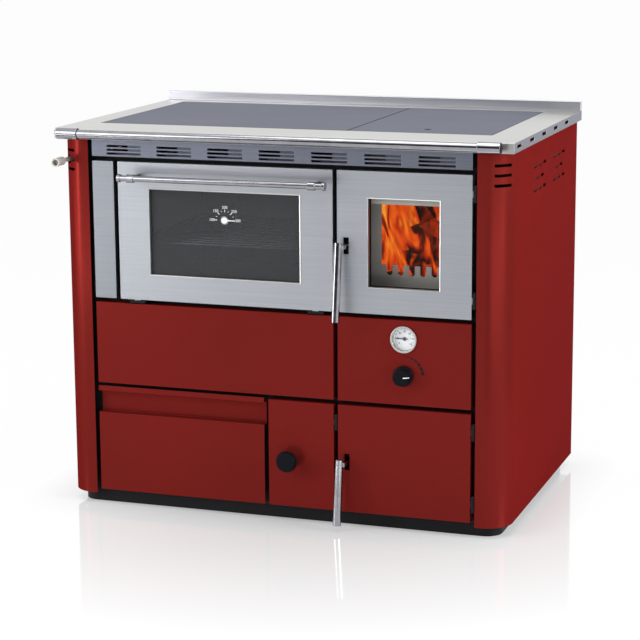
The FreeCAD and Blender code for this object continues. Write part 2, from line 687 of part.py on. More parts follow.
def lever(label, height, length):
    tilt = FreeCAD.Rotation(FreeCAD.Vector(1, 0, 0), 180 - value("lever_tilt"))
    top = (f"{LEVER_X}-lever_side", f"{FRONT}-lever_reach", f"{height}+lever_tube")
    tube = []
    for radius in ("lever_tube", "lever_tube-lever_wall"):
        item = document.addObject("Part::Cylinder", "LeverTube")
        bind(item, Radius=radius, Height=length)
        tube.append(place(item, *top, tilt))
    arm_x = (f"{LEVER_X}-lever_arm/2", f"{LEVER_X}+lever_arm/2")
    arm = box(arm_x, (f"{FRONT}-lever_reach-lever_tube/2", LEVER_Y),
              (f"{height}-lever_tube/2", f"{height}+lever_tube/2"))
    boss = rod("X", (LEVER_Y, height), "2*lever_pin", arm_x)
    tongue = box(arm_x, (LEVER_Y, f"{FACE_BACK}+lever_arm"), (f"{height}-lever_pin", f"{height}+lever_pin"))
    bore = rod("X", (LEVER_Y, height), "lever_pin+running", arm_x)
    node(cut(fuse(cut(*tube), arm, boss, tongue), bore), label)


def lever_slot(height):
    slot = (f"({LEVER_X}-lever_arm)", f"({LEVER_X}+lever_arm)")
    return rectangle(slot, (f"({height}-2*lever_tube)", f"({height}+2*lever_tube)"))


def lever_pivot(height):
    pin_x = (f"{LEVER_X}-2*lever_arm", f"{LEVER_X}+2*lever_arm")
    ear_y = (f"{FRONT}+skin", f"{LEVER_Y}+lever_pin")
    ear_z = (f"{height}-2*lever_pin", f"{height}+2*lever_pin")
    pivot = [rod("X", (LEVER_Y, height), "lever_pin", pin_x)]
    for ear_x in ((pin_x[0], f"{LEVER_X}-lever_arm"), (f"{LEVER_X}+lever_arm", pin_x[1])):
        pivot.append(box(ear_x, ear_y, ear_z))
    return pivot


lever("fire_lever", FIRE_LEVER_Z, "fire_lever_length")
lever("ash_lever", ASH_LEVER_Z, "ash_lever_length")

# Catches on the edge of the openings, just above the resting latch tongues.
welded_to_face = []
for height in (FIRE_LEVER_Z, ASH_LEVER_Z):
    catch_x = (opening(FIRE)[0], f"{LEVER_X}+lever_arm")
    catch_z = (f"{height}+2*lever_pin", f"{height}+6*lever_pin")
    welded_to_face.append(box(catch_x, (FACE, FACE_BACK), catch_z))

# Hinges: a knuckle on the door between two lugs on the face, all on one pin.
HINGE_Y = f"({FRONT}+hinge_set)"
LUG = ("(knuckle_length/2+side_play)", "(knuckle_length/2+side_play+lug_length)")
hinge_pins = []


def hinge_spans(middle):
    whole = (f"{middle}-{LUG[1]}", f"{middle}+{LUG[1]}")
    knuckle = (f"{middle}-knuckle_length/2", f"{middle}+knuckle_length/2")
    lugs = (f"{middle}+{LUG[0]}", whole[1]), (whole[0], f"{middle}-{LUG[0]}")
    return whole, knuckle, lugs


def upright_hinge(edge, height):
    axis = (f"({edge}+gap/2)", HINGE_Y)
    reach = f"({axis[0]}+knuckle)"
    whole, span, lug_spans = hinge_spans(height)
    bore = rod("Z", axis, "hinge_pin+running", whole)
    lugs = [box((f"{axis[0]}+knuckle/4", reach), (f"{axis[1]}+1.5*knuckle", FACE), whole)]
    for lug_span in lug_spans:
        lugs.append(rod("Z", axis, "knuckle", lug_span))
        lugs.append(box((f"{axis[0]}-knuckle/2", reach), (axis[1], FACE), lug_span))
    welded_to_face.append(cut(fuse(*lugs), bore))
    hinge_pins.append(rod("Z", axis, "hinge_pin", whole))
    leaf = box((edge, axis[0]), (f"{axis[1]}-knuckle/2", f"{axis[1]}+knuckle/2"), span)
    return cut(fuse(rod("Z", axis, "knuckle", span), leaf), bore)


def level_hinge(edge, across):
    axis = (HINGE_Y, f"({edge}-gap/2)")
    reach = f"({axis[1]}-knuckle)"
    whole, span, lug_spans = hinge_spans(across)
    bore = rod("X", axis, "hinge_pin+running", whole)
    lugs = [box(whole, (f"{axis[0]}+1.5*knuckle", FACE), (reach, f"{axis[1]}-knuckle/4"))]
    for lug_span in lug_spans:
        lugs.append(rod("X", axis, "knuckle", lug_span))
        lugs.append(box(lug_span, (axis[0], FACE), (reach, f"{axis[1]}+knuckle/2")))
    welded_to_face.append(cut(fuse(*lugs), bore))
    hinge_pins.append(rod("X", axis, "hinge_pin", whole))
    leaf = box(span, (f"{axis[0]}-knuckle/2", f"{axis[0]}+knuckle/2"), (axis[1], edge))
    return cut(fuse(rod("X", axis, "knuckle", span), leaf), bore)


def hinge_places(span):
    return f"({span[0]}+hinge_inset)", f"({span[1]}-hinge_inset)"


fire_knuckles = [upright_hinge(FIRE[1], height) for height in hinge_places(UPPER)]
ash_knuckles = [upright_hinge(FIRE[1], height) for height in hinge_places(LOW)]
small_knuckles = [upright_hinge(SMALL[1], height) for height in hinge_places(LOW)]
oven_knuckles = [level_hinge(UPPER[0], across) for across in hinge_places(OVEN)]
node(group(*hinge_pins), "hinge_pins")
node(fuse(face_sheet, *welded_to_face), "face_frame")


# Doors: skin with its welded knuckles, inner plate and sealing cord; the glass lies behind the
# fold of the window.
def window_at(middle, width):
    sill = f"({UPPER[0]}+window_rise)"
    return (f"({middle}-{width}/2)", f"({middle}+{width}/2)"), (sill, f"({sill}+window_height)")


def door(prefix, x, z, welded, window=None, holes=(), drilled=()):
    folded = sheet_body("XZ", *tray_layers(x, z, DOOR_BACK, holes, window=window))
    node(fuse(folded, *welded), f"{prefix}_skin")
    plate = [rectangle(grown(x, "0-skin"), grown(z, "0-skin")), *holes]
    if window:
        plate.append(rectangle(*window))
        pane = rectangle(*(grown(span, "glass_rim") for span in window))
        pane_y = (f"({FRONT}+window_return)", f"({FRONT}+window_return+glass)")
        node(sheet_body("XZ", ([pane], pane_y, drilled)), f"{prefix}_glass")
    node(sheet_body("XZ", (plate, (f"({DOOR_BACK}-liner)", DOOR_BACK))), f"{prefix}_liner")


def door_seal(prefix, x, z):
    outer = [grown(span, "0-skin/2") for span in (x, z)]
    inner = [grown(span, "0-seal_width") for span in outer]
    node(sheet_body("XZ", ([rectangle(*outer), rectangle(*inner)], (DOOR_BACK, FACE))), f"{prefix}_seal")


FIRE_WINDOW = window_at(FIRE_MIDDLE, "fire_window_width")
OVEN_WINDOW = window_at(OVEN_MIDDLE, "oven_window_width")
THERMO_Z = f"({OVEN_WINDOW[1][1]}-thermo_drop)"
THERMO_NECK = "(thermo_radius*0.4)"
fire_fittings = lever_pivot(FIRE_LEVER_Z) + fire_knuckles
door("fire_door", FIRE, UPPER, fire_fittings, FIRE_WINDOW, [lever_slot(FIRE_LEVER_Z)])
door("ash_door", FIRE, LOW, lever_pivot(ASH_LEVER_Z) + ash_knuckles, None, [lever_slot(ASH_LEVER_Z)])
thermo_hole = (OVEN_MIDDLE, THERMO_Z, f"{THERMO_NECK}+running")
door("oven_door", OVEN, UPPER, oven_knuckles, OVEN_WINDOW, (), [thermo_hole])
door("small_door", SMALL, LOW, small_knuckles)
for prefix, x, z in (("fire_door", FIRE, UPPER), ("ash_door", FIRE, LOW), ("oven_door", OVEN, UPPER)):
    door_seal(prefix, x, z)

# Oven door handle: a bar with turned ends on two posts.
handle = (f"({FRONT}-handle_standoff)", f"({UPPER[1]}-handle_drop)")
bar_middle = f"({OVEN_MIDDLE}+handle_shift)"
bar_span = (f"{bar_middle}-handle_length/2", f"{bar_middle}+handle_length/2")
posts = []
for inset in (f"({bar_span[0]}+handle_post_inset)", f"({bar_span[1]}-handle_post_inset)"):
    posts.append(rod("Y", (inset, handle[1]), "handle_post", (handle[0], FRONT)))
    collar = (f"{inset}-handle_post*1.5", f"{inset}+handle_post*1.5")
    posts.append(rod("X", handle, "handle_radius*1.4", collar))
for end in (bar_span[0], f"{bar_span[1]}-handle_radius"):
    posts.append(rod("X", handle, "handle_radius*1.4", (end, f"{end}+handle_radius")))
node(fuse(rod("X", handle, "handle_radius", bar_span), *posts), "oven_handle")

# Oven thermometer: a boss through the door glass with a pointer before it.
thermo_face = "(0-window_return)"
thermo_profile = [
    ("0", f"({thermo_face}-glass-liner)"),
    ("thermo_radius", f"({thermo_face}-glass-liner)"),
    ("thermo_radius", f"({thermo_face}-glass)"),
    (THERMO_NECK, f"({thermo_face}-glass)"),
    (THERMO_NECK, thermo_face),
    ("thermo_radius", thermo_face),
    ("thermo_radius", f"({thermo_face}+skin)"),
    ("0", f"({thermo_face}+skin)"),
]
node(turned(thermo_profile, OVEN_MIDDLE, FRONT, THERMO_Z), "oven_thermometer")
pointer_y = (f"{FRONT}+window_return-2*skin", f"{FRONT}+window_return-skin")
pointer_hub = rod("Y", (OVEN_MIDDLE, THERMO_Z), "thermo_radius*0.7", pointer_y)
pointer_arm = box((OVEN_MIDDLE, f"{OVEN_MIDDLE}+pointer_length"), pointer_y,
                  (f"{THERMO_Z}-skin/2", f"{THERMO_Z}+skin/2"))
node(fuse(pointer_hub, pointer_arm), "oven_thermometer_pointer")

# Boiler gauge: a cup with a bezel in the control panel, dial, needle and glass.
dial_floor = "(0-gauge_depth/2)"
gauge_profile = [
    ("0", "(0-gauge_depth)"),
    (gauge_barrel, "(0-gauge_depth)"),
    (gauge_barrel, "0"),
    ("gauge_radius", "0"),
    ("gauge_radius", "2*skin"),
    (f"({gauge_barrel}-skin)", "2*skin"),
    (f"({gauge_barrel}-skin)", dial_floor),
    ("0", dial_floor),
]
gauge_place = (FIRE_MIDDLE, FRONT, GAUGE_Z)
node(turned(gauge_profile, *gauge_place), "gauge_case")
dial_radius = f"({gauge_barrel}-skin-side_play)"
dial_y = (f"{FRONT}-{dial_floor}-skin/2", f"{FRONT}-{dial_floor}")
node(rod("Y", (FIRE_MIDDLE, GAUGE_Z), dial_radius, dial_y), "gauge_dial")
needle_y = (f"{dial_y[0]}-skin", dial_y[0])
needle_hub = rod("Y", (FIRE_MIDDLE, GAUGE_Z), "2*skin", needle_y)
needle_arm = box((f"{FIRE_MIDDLE}-gauge_radius*0.68", f"{FIRE_MIDDLE}+gauge_radius*0.25"), needle_y,
                 (f"{GAUGE_Z}-skin/2", f"{GAUGE_Z}+skin/2"))
node(fuse(needle_hub, needle_arm), "gauge_needle")
node(rod("Y", (FIRE_MIDDLE, GAUGE_Z), dial_radius, (f"{FRONT}-skin", f"{FRONT}-skin/2")), "gauge_glass")

# Air regulator: a knob whose spindle turns a ported disc over the ports in the face.
knob_back = "(2*side_play)"
knob_front = f"({knob_back}+knob_depth)"
knob_profile = [
    ("0", knob_back),
    ("knob_radius", knob_back),
    ("knob_radius", f"({knob_back}+knob_depth/3)"),
    ("knob_radius*0.86", f"({knob_back}+knob_depth/3)"),
    ("knob_radius*0.8", knob_front),
    ("0", knob_front),
]
knob_place = (FIRE_MIDDLE, FRONT, KNOB_Z)
node(turned(knob_profile, *knob_place), "regulator_knob")
disc_y = (f"{FACE}-side_play-skin", f"{FACE}-side_play")
spindle_rod = rod("Y", (FIRE_MIDDLE, KNOB_Z), "spindle", (f"{FRONT}-{knob_back}", disc_y[1]))
disc = rod("Y", (FIRE_MIDDLE, KNOB_Z), "valve_radius", disc_y)
ports = []
for side in ("-1", "1"):
    ports.append(rod("Y", (f"{FIRE_MIDDLE}+({side})*valve_offset*0.8", f"{KNOB_Z}+({side})*valve_offset*0.6"),
                     "valve_port", disc_y))
node(cut(fuse(spindle_rod, disc), *ports), "air_valve")

# Log drawer: a bent front with a finger recess under its lip, and a box on two runners.
lip_top = LOW[1]
lip_bottom = f"({lip_top}-drawer_lip)"
face_top = f"({LOW[0]}+drawer_front_height)"
recess_back = f"({FRONT}+recess)"
drawer_profile = [
    (FRONT, LOW[0]),
    (FRONT, face_top),
    (f"({recess_back}-skin)", face_top),
    (f"({recess_back}-skin)", lip_bottom),
    (FRONT, lip_bottom),
    (FRONT, lip_top),
    (f"({FRONT}+skin)", lip_top),
    (f"({FRONT}+skin)", f"({lip_bottom}+skin)"),
    (recess_back, f"({lip_bottom}+skin)"),
    (recess_back, f"({face_top}-skin)"),
    (f"({FRONT}+skin)", f"({face_top}-skin)"),
    (f"({FRONT}+skin)", LOW[0]),
]
node(sheet_body("YZ", ([drawer_profile], DRAWER)), "drawer_front")
DRAWER_BOX_X = grown(opening(DRAWER), "0-2*drawer_wall")
drawer_y = (f"({FRONT}+skin)", f"({FRONT}+skin+drawer_depth)")
drawer_z = (f"({BASE}+runner_height)", f"({BASE}+runner_height+drawer_height)")
drawer_inside = box(grown(DRAWER_BOX_X, "0-drawer_wall"), grown(drawer_y, "0-drawer_wall"),
                    (f"{drawer_z[0]}+drawer_wall", f"{drawer_z[1]}+1"))
node(cut(box(DRAWER_BOX_X, drawer_y, drawer_z), drawer_inside), "drawer_box")
runners = []
for start in (DRAWER_BOX_X[0], f"({DRAWER_BOX_X[1]}-runner_width)"):
    runners.append(box((start, f"{start}+runner_width"), (FACE_BACK, drawer_y[1]), (BASE, drawer_z[0])))
node(fuse(tray, *runners), "base_tray")

# Cleaning door pull: a turned black grip on a neck.
pull_profile = [
    ("0", "0"),
    ("pull_radius*0.5", "0"),
    ("pull_radius*0.45", "(pull_depth*0.35)"),
    ("pull_radius*0.9", "(pull_depth*0.5)"),
    ("pull_radius", "(pull_depth*0.75)"),
    ("pull_radius*0.85", "pull_depth"),
    ("0", "pull_depth"),
]
node(turned(pull_profile, f"{SMALL[0]}+pull_inset", FRONT, f"{LOW[0]}+pull_rise"), "small_door_pull")

# Oven: a folded liner, ledges at its sides and a wire rack on them.
oven_x, oven_z = opening(OVEN), opening(UPPER)
oven_y = (FACE_BACK, f"({FACE_BACK}+oven_depth)")
oven_block = box(grown(oven_x, "oven_wall"), (oven_y[0], f"{oven_y[1]}+oven_wall"),
                 grown(oven_z, "oven_wall"))
oven_shell = cut(oven_block, box(oven_x, (f"{oven_y[0]}-1", oven_y[1]), oven_z))
RACK_Z = f"({oven_z[0]}+rack_rise)"
ledges = []
for start in (oven_x[0], f"({oven_x[1]}-ledge_width)"):
    ledges.append(box((start, f"{start}+ledge_width"), (f"{oven_y[0]}+ledge_width", oven_y[1]),
                      (f"{RACK_Z}-rack_wire-skin", f"{RACK_Z}-rack_wire")))
node(fuse(oven_shell, *ledges), "oven_liner")
rack_x = grown(oven_x, "0-2*rack_wire")
rack_y = (f"({oven_y[0]}+2*ledge_width)", f"({oven_y[1]}-ledge_width)")
wires = []
for across in rack_x:
    wires.append(box((f"{across}-rack_wire", f"{across}+rack_wire"), rack_y,
                     (f"{RACK_Z}-rack_wire", f"{RACK_Z}+rack_wire")))
RACK_WIRES = 15
for index in range(RACK_WIRES):
    along = f"({rack_y[0]}+rack_wire+{index}*rack_pitch)"
    wires.append(rod("X", (along, RACK_Z), "rack_wire*0.7", rack_x))
node(fuse(*wires), "oven_rack")


# Boiler: a water jacket of plate round three sides of the fire, closed by a cover.
def horseshoe(outer_x, outer_rear, inner_x, inner_rear, front):
    return [
        (outer_x[0], front),
        (outer_x[0], outer_rear),
        (outer_x[1], outer_rear),
        (outer_x[1], front),
        (inner_x[1], front),
        (inner_x[1], inner_rear),
        (inner_x[0], inner_rear),
        (inner_x[0], front),
    ]


JACKET = "(2*jacket_wall+jacket_water)"
FIREBOX = (f"(jacket_left+{JACKET})", f"(jacket_right-{JACKET})")
FIREBOX_REAR = f"(jacket_rear-{JACKET})"
jacket_shape = horseshoe(("jacket_left", "jacket_right"), "jacket_rear", FIREBOX, FIREBOX_REAR, FACE_BACK)
water_shape = horseshoe(
    ("(jacket_left+jacket_wall)", "(jacket_right-jacket_wall)"), "(jacket_rear-jacket_wall)",
    grown(FIREBOX, "jacket_wall"), f"({FIREBOX_REAR}+jacket_wall)", f"({FACE_BACK}+jacket_wall)")
jacket_floor = f"({BASE}+jacket_wall)"
cover_z = ("(jacket_top-jacket_wall)", "jacket_top")
jacket = sheet_body("XY", ([jacket_shape], (BASE, jacket_floor)),
                    ([jacket_shape, water_shape], (jacket_floor, cover_z[0])))
node(sheet_body("XY", ([jacket_shape], cover_z)), "jacket_cover")

socket_y = ("jacket_rear", f"{BACK}+socket_reach")
sockets = []
for height in ("flow_height", "return_height"):
    sockets.append(pipe("Y", (WATER_X, height), "socket_radius", "socket_bore", socket_y))
for coil_x in COIL_X:
    sockets.append(pipe("Y", (coil_x, "coil_height"), "coil_radius", "coil_bore", socket_y))
node(group(*sockets), "boiler_connections")

# Fire: ledges on the boiler walls, a header plate over the mouth, a slotted grate, firebricks and
# the comb-edged log guard.
GRATE_Z = ("grate_height", "(grate_height+grate_depth)")
FENCE_Y = (f"({FRONT}+fence_set)", f"({FRONT}+fence_set+fence_plate)")
grate_ledges = []
for start in (FIREBOX[0], f"({FIREBOX[1]}-grate_depth)"):
    grate_ledges.append(box((start, f"{start}+grate_depth"), (FENCE_Y[0], FIREBOX_REAR),
                            ("grate_height-jacket_wall", "grate_height")))
header = box(FIREBOX, (FACE_BACK, f"{FACE_BACK}+jacket_wall"), (opening(UPPER)[1], f"{TOP}-side_play"))
node(fuse(jacket, header, *grate_ledges), "boiler_jacket")
grate_x, grate_y = grown(FIREBOX, "0-side_play"), (FENCE_Y[0], f"({FIREBOX_REAR}-side_play)")
grate_slots = []
for index in range(-8, 9):
    along = f"(({grate_y[0]}+{grate_y[1]})/2+({index})*grate_pitch)"
    slot_y = (f"{along}-grate_slot/2", f"{along}+grate_slot/2")
    grate_slots.append(box(grown(grate_x, "0-2*grate_depth"), slot_y,
                           grown(GRATE_Z, "1")))
node(cut(box(grate_x, grate_y, GRATE_Z), *grate_slots), "fire_grate")
brick_z = (GRATE_Z[1], f"({GRATE_Z[1]}+brick_height)")
brick_y = (FENCE_Y[1], f"({FIREBOX_REAR}-brick)")
bricks = [box(FIREBOX, (brick_y[1], FIREBOX_REAR), brick_z)]
for start in (FIREBOX[0], f"({FIREBOX[1]}-brick)"):
    bricks.append(box((start, f"{start}+brick"), brick_y, brick_z))
node(group(*bricks), "firebricks")
guard_opening = (f"({FIRE_MIDDLE}-fence_opening/2)", f"({FIRE_MIDDLE}+fence_opening/2)")
guard = sheet_body("XZ", ([rectangle(FIREBOX, (GRATE_Z[1], "fence_top")),
                           rectangle(guard_opening, ("fence_comb", "(fence_top-2*fence_plate)"))], FENCE_Y))
notches = []
for index in range(-2, 3):
    across = f"({FIRE_MIDDLE}+({index})*comb_pitch)"
    bottom = "(fence_comb-comb_depth+comb_notch)"
    notches.append(rod("Y", (across, bottom), "comb_notch", FENCE_Y))
    notches.append(box((f"{across}-comb_notch", f"{across}+comb_notch"), FENCE_Y, (bottom, "fence_comb+1")))
node(cut(guard, *notches), "log_guard")

pan_x = grown(FIREBOX, "0-ash_pan_side")
pan_y = (f"({FACE_BACK}+ash_pan_side)", f"({FACE_BACK}+ash_pan_side+ash_pan_depth)")
pan_z = (BASE, f"({BASE}+ash_pan_height)")
pan_inside = box(grown(pan_x, "0-ash_pan_wall"), grown(pan_y, "0-ash_pan_wall"),
                 (f"{pan_z[0]}+ash_pan_wall", f"{pan_z[1]}+1"))
node(cut(box(pan_x, pan_y, pan_z), pan_inside), "ash_pan")

# Smoke chamber behind the oven, open towards it, and the flue collar through the back panel.
smoke_x, smoke_z = ("0-smoke_left", "smoke_right"), ("smoke_bottom", "smoke_top")
smoke_y = (f"({oven_y[1]}+oven_wall)", "smoke_rear")
smoke_hollow = box(grown(smoke_x, "0-flue_wall"), (f"{smoke_y[0]}-1", f"{smoke_y[1]}-flue_wall"),
                   grown(smoke_z, "0-flue_wall"))
flue_hole = rod("Y", (FLUE_X, "flue_height"), "flue_radius-flue_wall", grown(smoke_y, "flue_wall"))
node(cut(box(smoke_x, smoke_y, smoke_z), smoke_hollow, flue_hole), "smoke_chamber")
flue_bore = "(flue_radius-flue_wall)"
flue_axis = (FLUE_X, "flue_height")
collar = fuse(rod("Y", flue_axis, "flue_radius+spigot_step", ("smoke_rear", BACK)),
              rod("Y", flue_axis, "flue_radius", (BACK, f"{BACK}+flue_length")))
collar_bore = rod("Y", flue_axis, flue_bore, ("smoke_rear", f"{BACK}+flue_length"))
CRANK_X = (f"({DAMPER_X}+3*crank_pin-damper_rod)", f"({DAMPER_X}+3*crank_pin)")
spindle_x = (CRANK_X[0], f"{FLUE_X}+{flue_bore}-damper_play")
spindle_hole = rod("X", ("damper_axis", "flue_height"), "damper_spindle+running", (CRANK_X[0], FLUE_X))
node(cut(collar, collar_bore, spindle_hole), "flue_collar")

# Damper: the knob at the corner pulls a rod whose slotted end swings the crank of the flap.
flap_disc = rod("Y", flue_axis, f"{flue_bore}-damper_play",
                ("damper_axis-damper_plate/2", "damper_axis+damper_plate/2"))
flap_spindle = rod("X", ("damper_axis", "flue_height"), "damper_spindle", spindle_x)
lean = FreeCAD.Rotation(FreeCAD.Vector(1, 0, 0), -value("crank_lean"))
PIN_Y = "(damper_axis+crank_length*sin(crank_lean*1deg))"
PIN_Z = "(flue_height+crank_length*cos(crank_lean*1deg))"
crank = document.addObject("Part::Box", "Crank")
bind(crank, Length=f"{CRANK_X[1]}-{CRANK_X[0]}", Width="2*damper_spindle", Height="crank_length+crank_pin")
place(crank, CRANK_X[0], "damper_axis-damper_spindle*cos(crank_lean*1deg)",
      "flue_height+damper_spindle*sin(crank_lean*1deg)", lean)
pin_rod = rod("X", (PIN_Y, PIN_Z), "crank_pin", (f"{DAMPER_X}-2*crank_pin", CRANK_X[1]))
node(fuse(flap_disc, flap_spindle, crank, pin_rod), "damper_flap")

yoke_x = (f"{DAMPER_X}-crank_pin/2", f"{DAMPER_X}+crank_pin/2")
yoke_y = (f"({PIN_Y}-4*crank_pin)", f"({PIN_Y}+4*crank_pin)")
yoke_z = (f"({PIN_Z}-4*crank_pin)", f"({DAMPER_Z}+2*damper_rod)")
slot_y = (f"{PIN_Y}-crank_pin-crank_play", f"{PIN_Y}+crank_pin+crank_play")
slot_z = (f"{PIN_Z}-crank_pin-2*crank_play", "flue_height+crank_length+crank_pin+2*crank_play")
yoke = cut(box(yoke_x, yoke_y, yoke_z), box(grown(yoke_x, "1"), slot_y, slot_z))
damper_tip = f"({FRONT}-damper_reach)"
damper_bar = rod("Y", (DAMPER_X, DAMPER_Z), "damper_rod", (f"{damper_tip}+damper_knob", f"{yoke_y[0]}+1"))
grip = pipe("Y", (DAMPER_X, DAMPER_Z), "damper_knob", "damper_knob*0.7",
            (damper_tip, f"{damper_tip}+damper_knob"))
grip_body = rod("Y", (DAMPER_X, DAMPER_Z), "damper_knob",
                (f"{damper_tip}+damper_knob", f"{damper_tip}+damper_knob_length"))
node(fuse(damper_bar, grip, grip_body, yoke), "damper_pull")
guides = []
for along in (f"({FRONT}+2*corner_radius)", "(damper_axis/2)"):
    guide = box((f"-{INSIDE}", f"{DAMPER_X}+2*damper_knob"), (along, f"{along}+damper_rod"),
                (f"{DAMPER_Z}-2*damper_rod", f"{DAMPER_Z}+2*damper_rod"))
    guide_bore = rod("Y", (DAMPER_X, DAMPER_Z), "damper_rod+running", (along, f"{along}+damper_rod"))
    guides.append(cut(guide, guide_bore))
node(group(*guides), "damper_guides")

# Mineral wool between the hot inside and the panels.
wool_front = f"({tray_step}+gap)"
wool_right = box(("jacket_right", "jacket_right+wool"), (wool_front, "jacket_rear"), (BASE, "jacket_top"))
wool_left_x = (f"{oven_x[0]}-oven_wall-wool", f"{oven_x[0]}-oven_wall")
wool_left = box(wool_left_x, (wool_front, oven_y[1]), oven_z)
node(group(wool_right, wool_left), "insulation")

document.recompute()
faults = []
for item in document.Objects:
    if {"Invalid", "Error"} & set(item.State):
        faults.append(f"{item.Name} ({item.Label}): {item.State}")
for item in PIECES:
    if item.Shape.isNull() or not item.Shape.isValid() or not item.Shape.Solids:
        faults.append(f"{item.Label}: no valid solid")
if faults:
    raise RuntimeError("; ".join(faults))

os.makedirs("parts", exist_ok=True)
for item in PIECES:
    item.Shape.exportStep(f"parts/{item.Label}.step")
print(len(PIECES), "pieces")
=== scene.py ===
import json
import math
import bmesh
import bpy
from mathutils import Euler, Matrix, Vector, noise


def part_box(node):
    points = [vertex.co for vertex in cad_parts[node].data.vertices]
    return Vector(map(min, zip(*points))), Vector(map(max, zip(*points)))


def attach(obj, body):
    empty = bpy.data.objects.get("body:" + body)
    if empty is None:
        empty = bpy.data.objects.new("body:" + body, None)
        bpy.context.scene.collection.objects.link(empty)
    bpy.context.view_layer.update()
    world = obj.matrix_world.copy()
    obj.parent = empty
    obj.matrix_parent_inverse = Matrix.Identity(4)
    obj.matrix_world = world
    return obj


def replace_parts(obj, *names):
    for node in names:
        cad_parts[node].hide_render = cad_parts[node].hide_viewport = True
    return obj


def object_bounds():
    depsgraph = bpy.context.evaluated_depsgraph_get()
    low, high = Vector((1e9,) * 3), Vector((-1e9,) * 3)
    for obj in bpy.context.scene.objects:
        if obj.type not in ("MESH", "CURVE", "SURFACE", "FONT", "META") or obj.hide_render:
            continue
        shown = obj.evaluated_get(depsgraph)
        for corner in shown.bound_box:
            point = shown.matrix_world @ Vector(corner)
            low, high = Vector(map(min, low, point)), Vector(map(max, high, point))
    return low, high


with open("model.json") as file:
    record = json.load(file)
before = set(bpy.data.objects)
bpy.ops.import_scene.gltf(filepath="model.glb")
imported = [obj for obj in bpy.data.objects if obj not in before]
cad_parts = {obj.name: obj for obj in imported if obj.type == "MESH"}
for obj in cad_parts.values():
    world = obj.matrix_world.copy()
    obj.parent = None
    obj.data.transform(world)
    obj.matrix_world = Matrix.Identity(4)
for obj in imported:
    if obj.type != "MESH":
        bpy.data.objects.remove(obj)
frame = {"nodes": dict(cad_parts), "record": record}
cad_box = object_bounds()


# Plinth and base tray
# The plinth is steel sheet folded to a box and painted matt black; the cabinet stands on it.
# The tray above it is zinc-coated sheet with the log drawer's runners; its black front is painted shade for
# the door gaps.
def shade(red, green, blue):
    """A colour as it is seen on a screen, 0 to 255, as the light that a shader needs."""
    light = []
    for part in (red, green, blue):
        level = part / 255
        light.append(level / 12.92 if level <= 0.04045 else ((level + 0.055) / 1.055) ** 2.4)
    return (*light, 1.0)


class Wire:
    """One output in a tree of nodes. Sums and products of wires add Math nodes."""

    def __init__(self, nodes, socket):
        self.nodes = nodes
        self.socket = socket

    def other(self, output):
        """Another output of the same node."""
        return Wire(self.nodes, self.socket.node.outputs[output])

    def math(self, operation, first, second=0.0):
        return self.nodes.node("ShaderNodeMath", {0: first, 1: second}, operation=operation)

    def __add__(self, other):
        return self.math("ADD", self, other)

    def __mul__(self, other):
        return self.math("MULTIPLY", self, other)

    __radd__ = __add__
    __rmul__ = __mul__


class Nodes:
    """A tree of nodes."""

    def __init__(self, tree):
        self.tree = tree

    def feed(self, socket, value):
        if isinstance(value, Wire):
            self.tree.links.new(value.socket, socket)
        else:
            socket.default_value = value

    def node(self, kind, inputs=None, output=0, stops=(), **settings):
        """A node whose settings and stops are set first, then its sockets; gives one output."""
        item = self.tree.nodes.new(kind)
        for name, value in settings.items():
            setattr(item, name, value)
        if stops:
            elements = item.color_ramp.elements
            while len(elements) < len(stops):
                elements.new(1.0)
            for element, (place, colour) in zip(elements, stops):
                element.position = place
                element.color = colour
        for name, value in (inputs or {}).items():
            self.feed(item.inputs[name], value)
        return Wire(self, item.outputs[output]) if item.outputs else None

    def place(self, stretch=(1, 1, 1)):
        coordinates = self.node("ShaderNodeTexCoord", output="Object")
        return self.node("ShaderNodeMapping", {"Vector": coordinates, "Scale": stretch})

    def ramp(self, share, stops):
        return self.node("ShaderNodeValToRGB", {0: share}, stops=stops)


BLACK = (0.0, 0.0, 0.0, 1.0)
WHITE = (1.0, 1.0, 1.0, 1.0)


class Finish(Nodes):
    """A surface: one Principled shader, and the nodes that vary it."""

    def __init__(self, name, constants):
        self.material = bpy.data.materials.new(name)
        self.material.use_nodes = True
        super().__init__(self.material.node_tree)
        self.surface = self.tree.nodes["Principled BSDF"]
        self.set(constants)

    def set(self, values):
        for name, value in values.items():
            self.feed(self.surface.inputs[name], value)

    def grain(self, scale, detail=4.0, stretch=(1, 1, 1), distortion=0.0):
        return self.node("ShaderNodeTexNoise", {"Vector": self.place(stretch), "Scale": scale,
                                                "Detail": detail, "Distortion": distortion})

    def between(self, share, first, second):
        return self.node("ShaderNodeMix", {0: share, 6: first, 7: second}, output=2, data_type="RGBA")

    def levels(self, share, low, high):
        return self.ramp(share, ((low, BLACK), (high, WHITE)))

    def rough(self, height, depth, strength):
        bump = self.node("ShaderNodeBump", {"Strength": strength, "Distance": depth, "Height": height})
        self.set({"Normal": bump})


def linked(name, data):
    """A new object in the scene, with its data."""
    item = bpy.data.objects.new(name, data)
    bpy.context.scene.collection.objects.link(item)
    return item


def mesh_from(work, name):
    """The mesh that a shape in the making has come to."""
    mesh = bpy.data.meshes.new(name)
    work.to_mesh(mesh)
    work.free()
    return mesh


def evaluated(item):
    """What an object's modifiers make of it, as a plain mesh; the object itself goes."""
    bpy.context.view_layer.update()
    mesh = bpy.data.meshes.new_from_object(item.evaluated_get(bpy.context.evaluated_depsgraph_get()))
    bpy.data.objects.remove(item)
    return mesh


def settled(name, mesh, finish, body):
    """A finished mesh as a piece that moves with a body."""
    mesh.materials.clear()
    mesh.materials.append(finish.material)
    piece = linked(name, mesh)
    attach(piece, body)
    return piece


def dress(finish, *nodes):
    """Solids whose shape is right as it is get their finish."""
    for node in nodes:
        slots = frame["nodes"][node].data.materials
        slots.clear()
        slots.append(finish.material)


WELD = 2e-6
FLAT = math.radians(0.4)


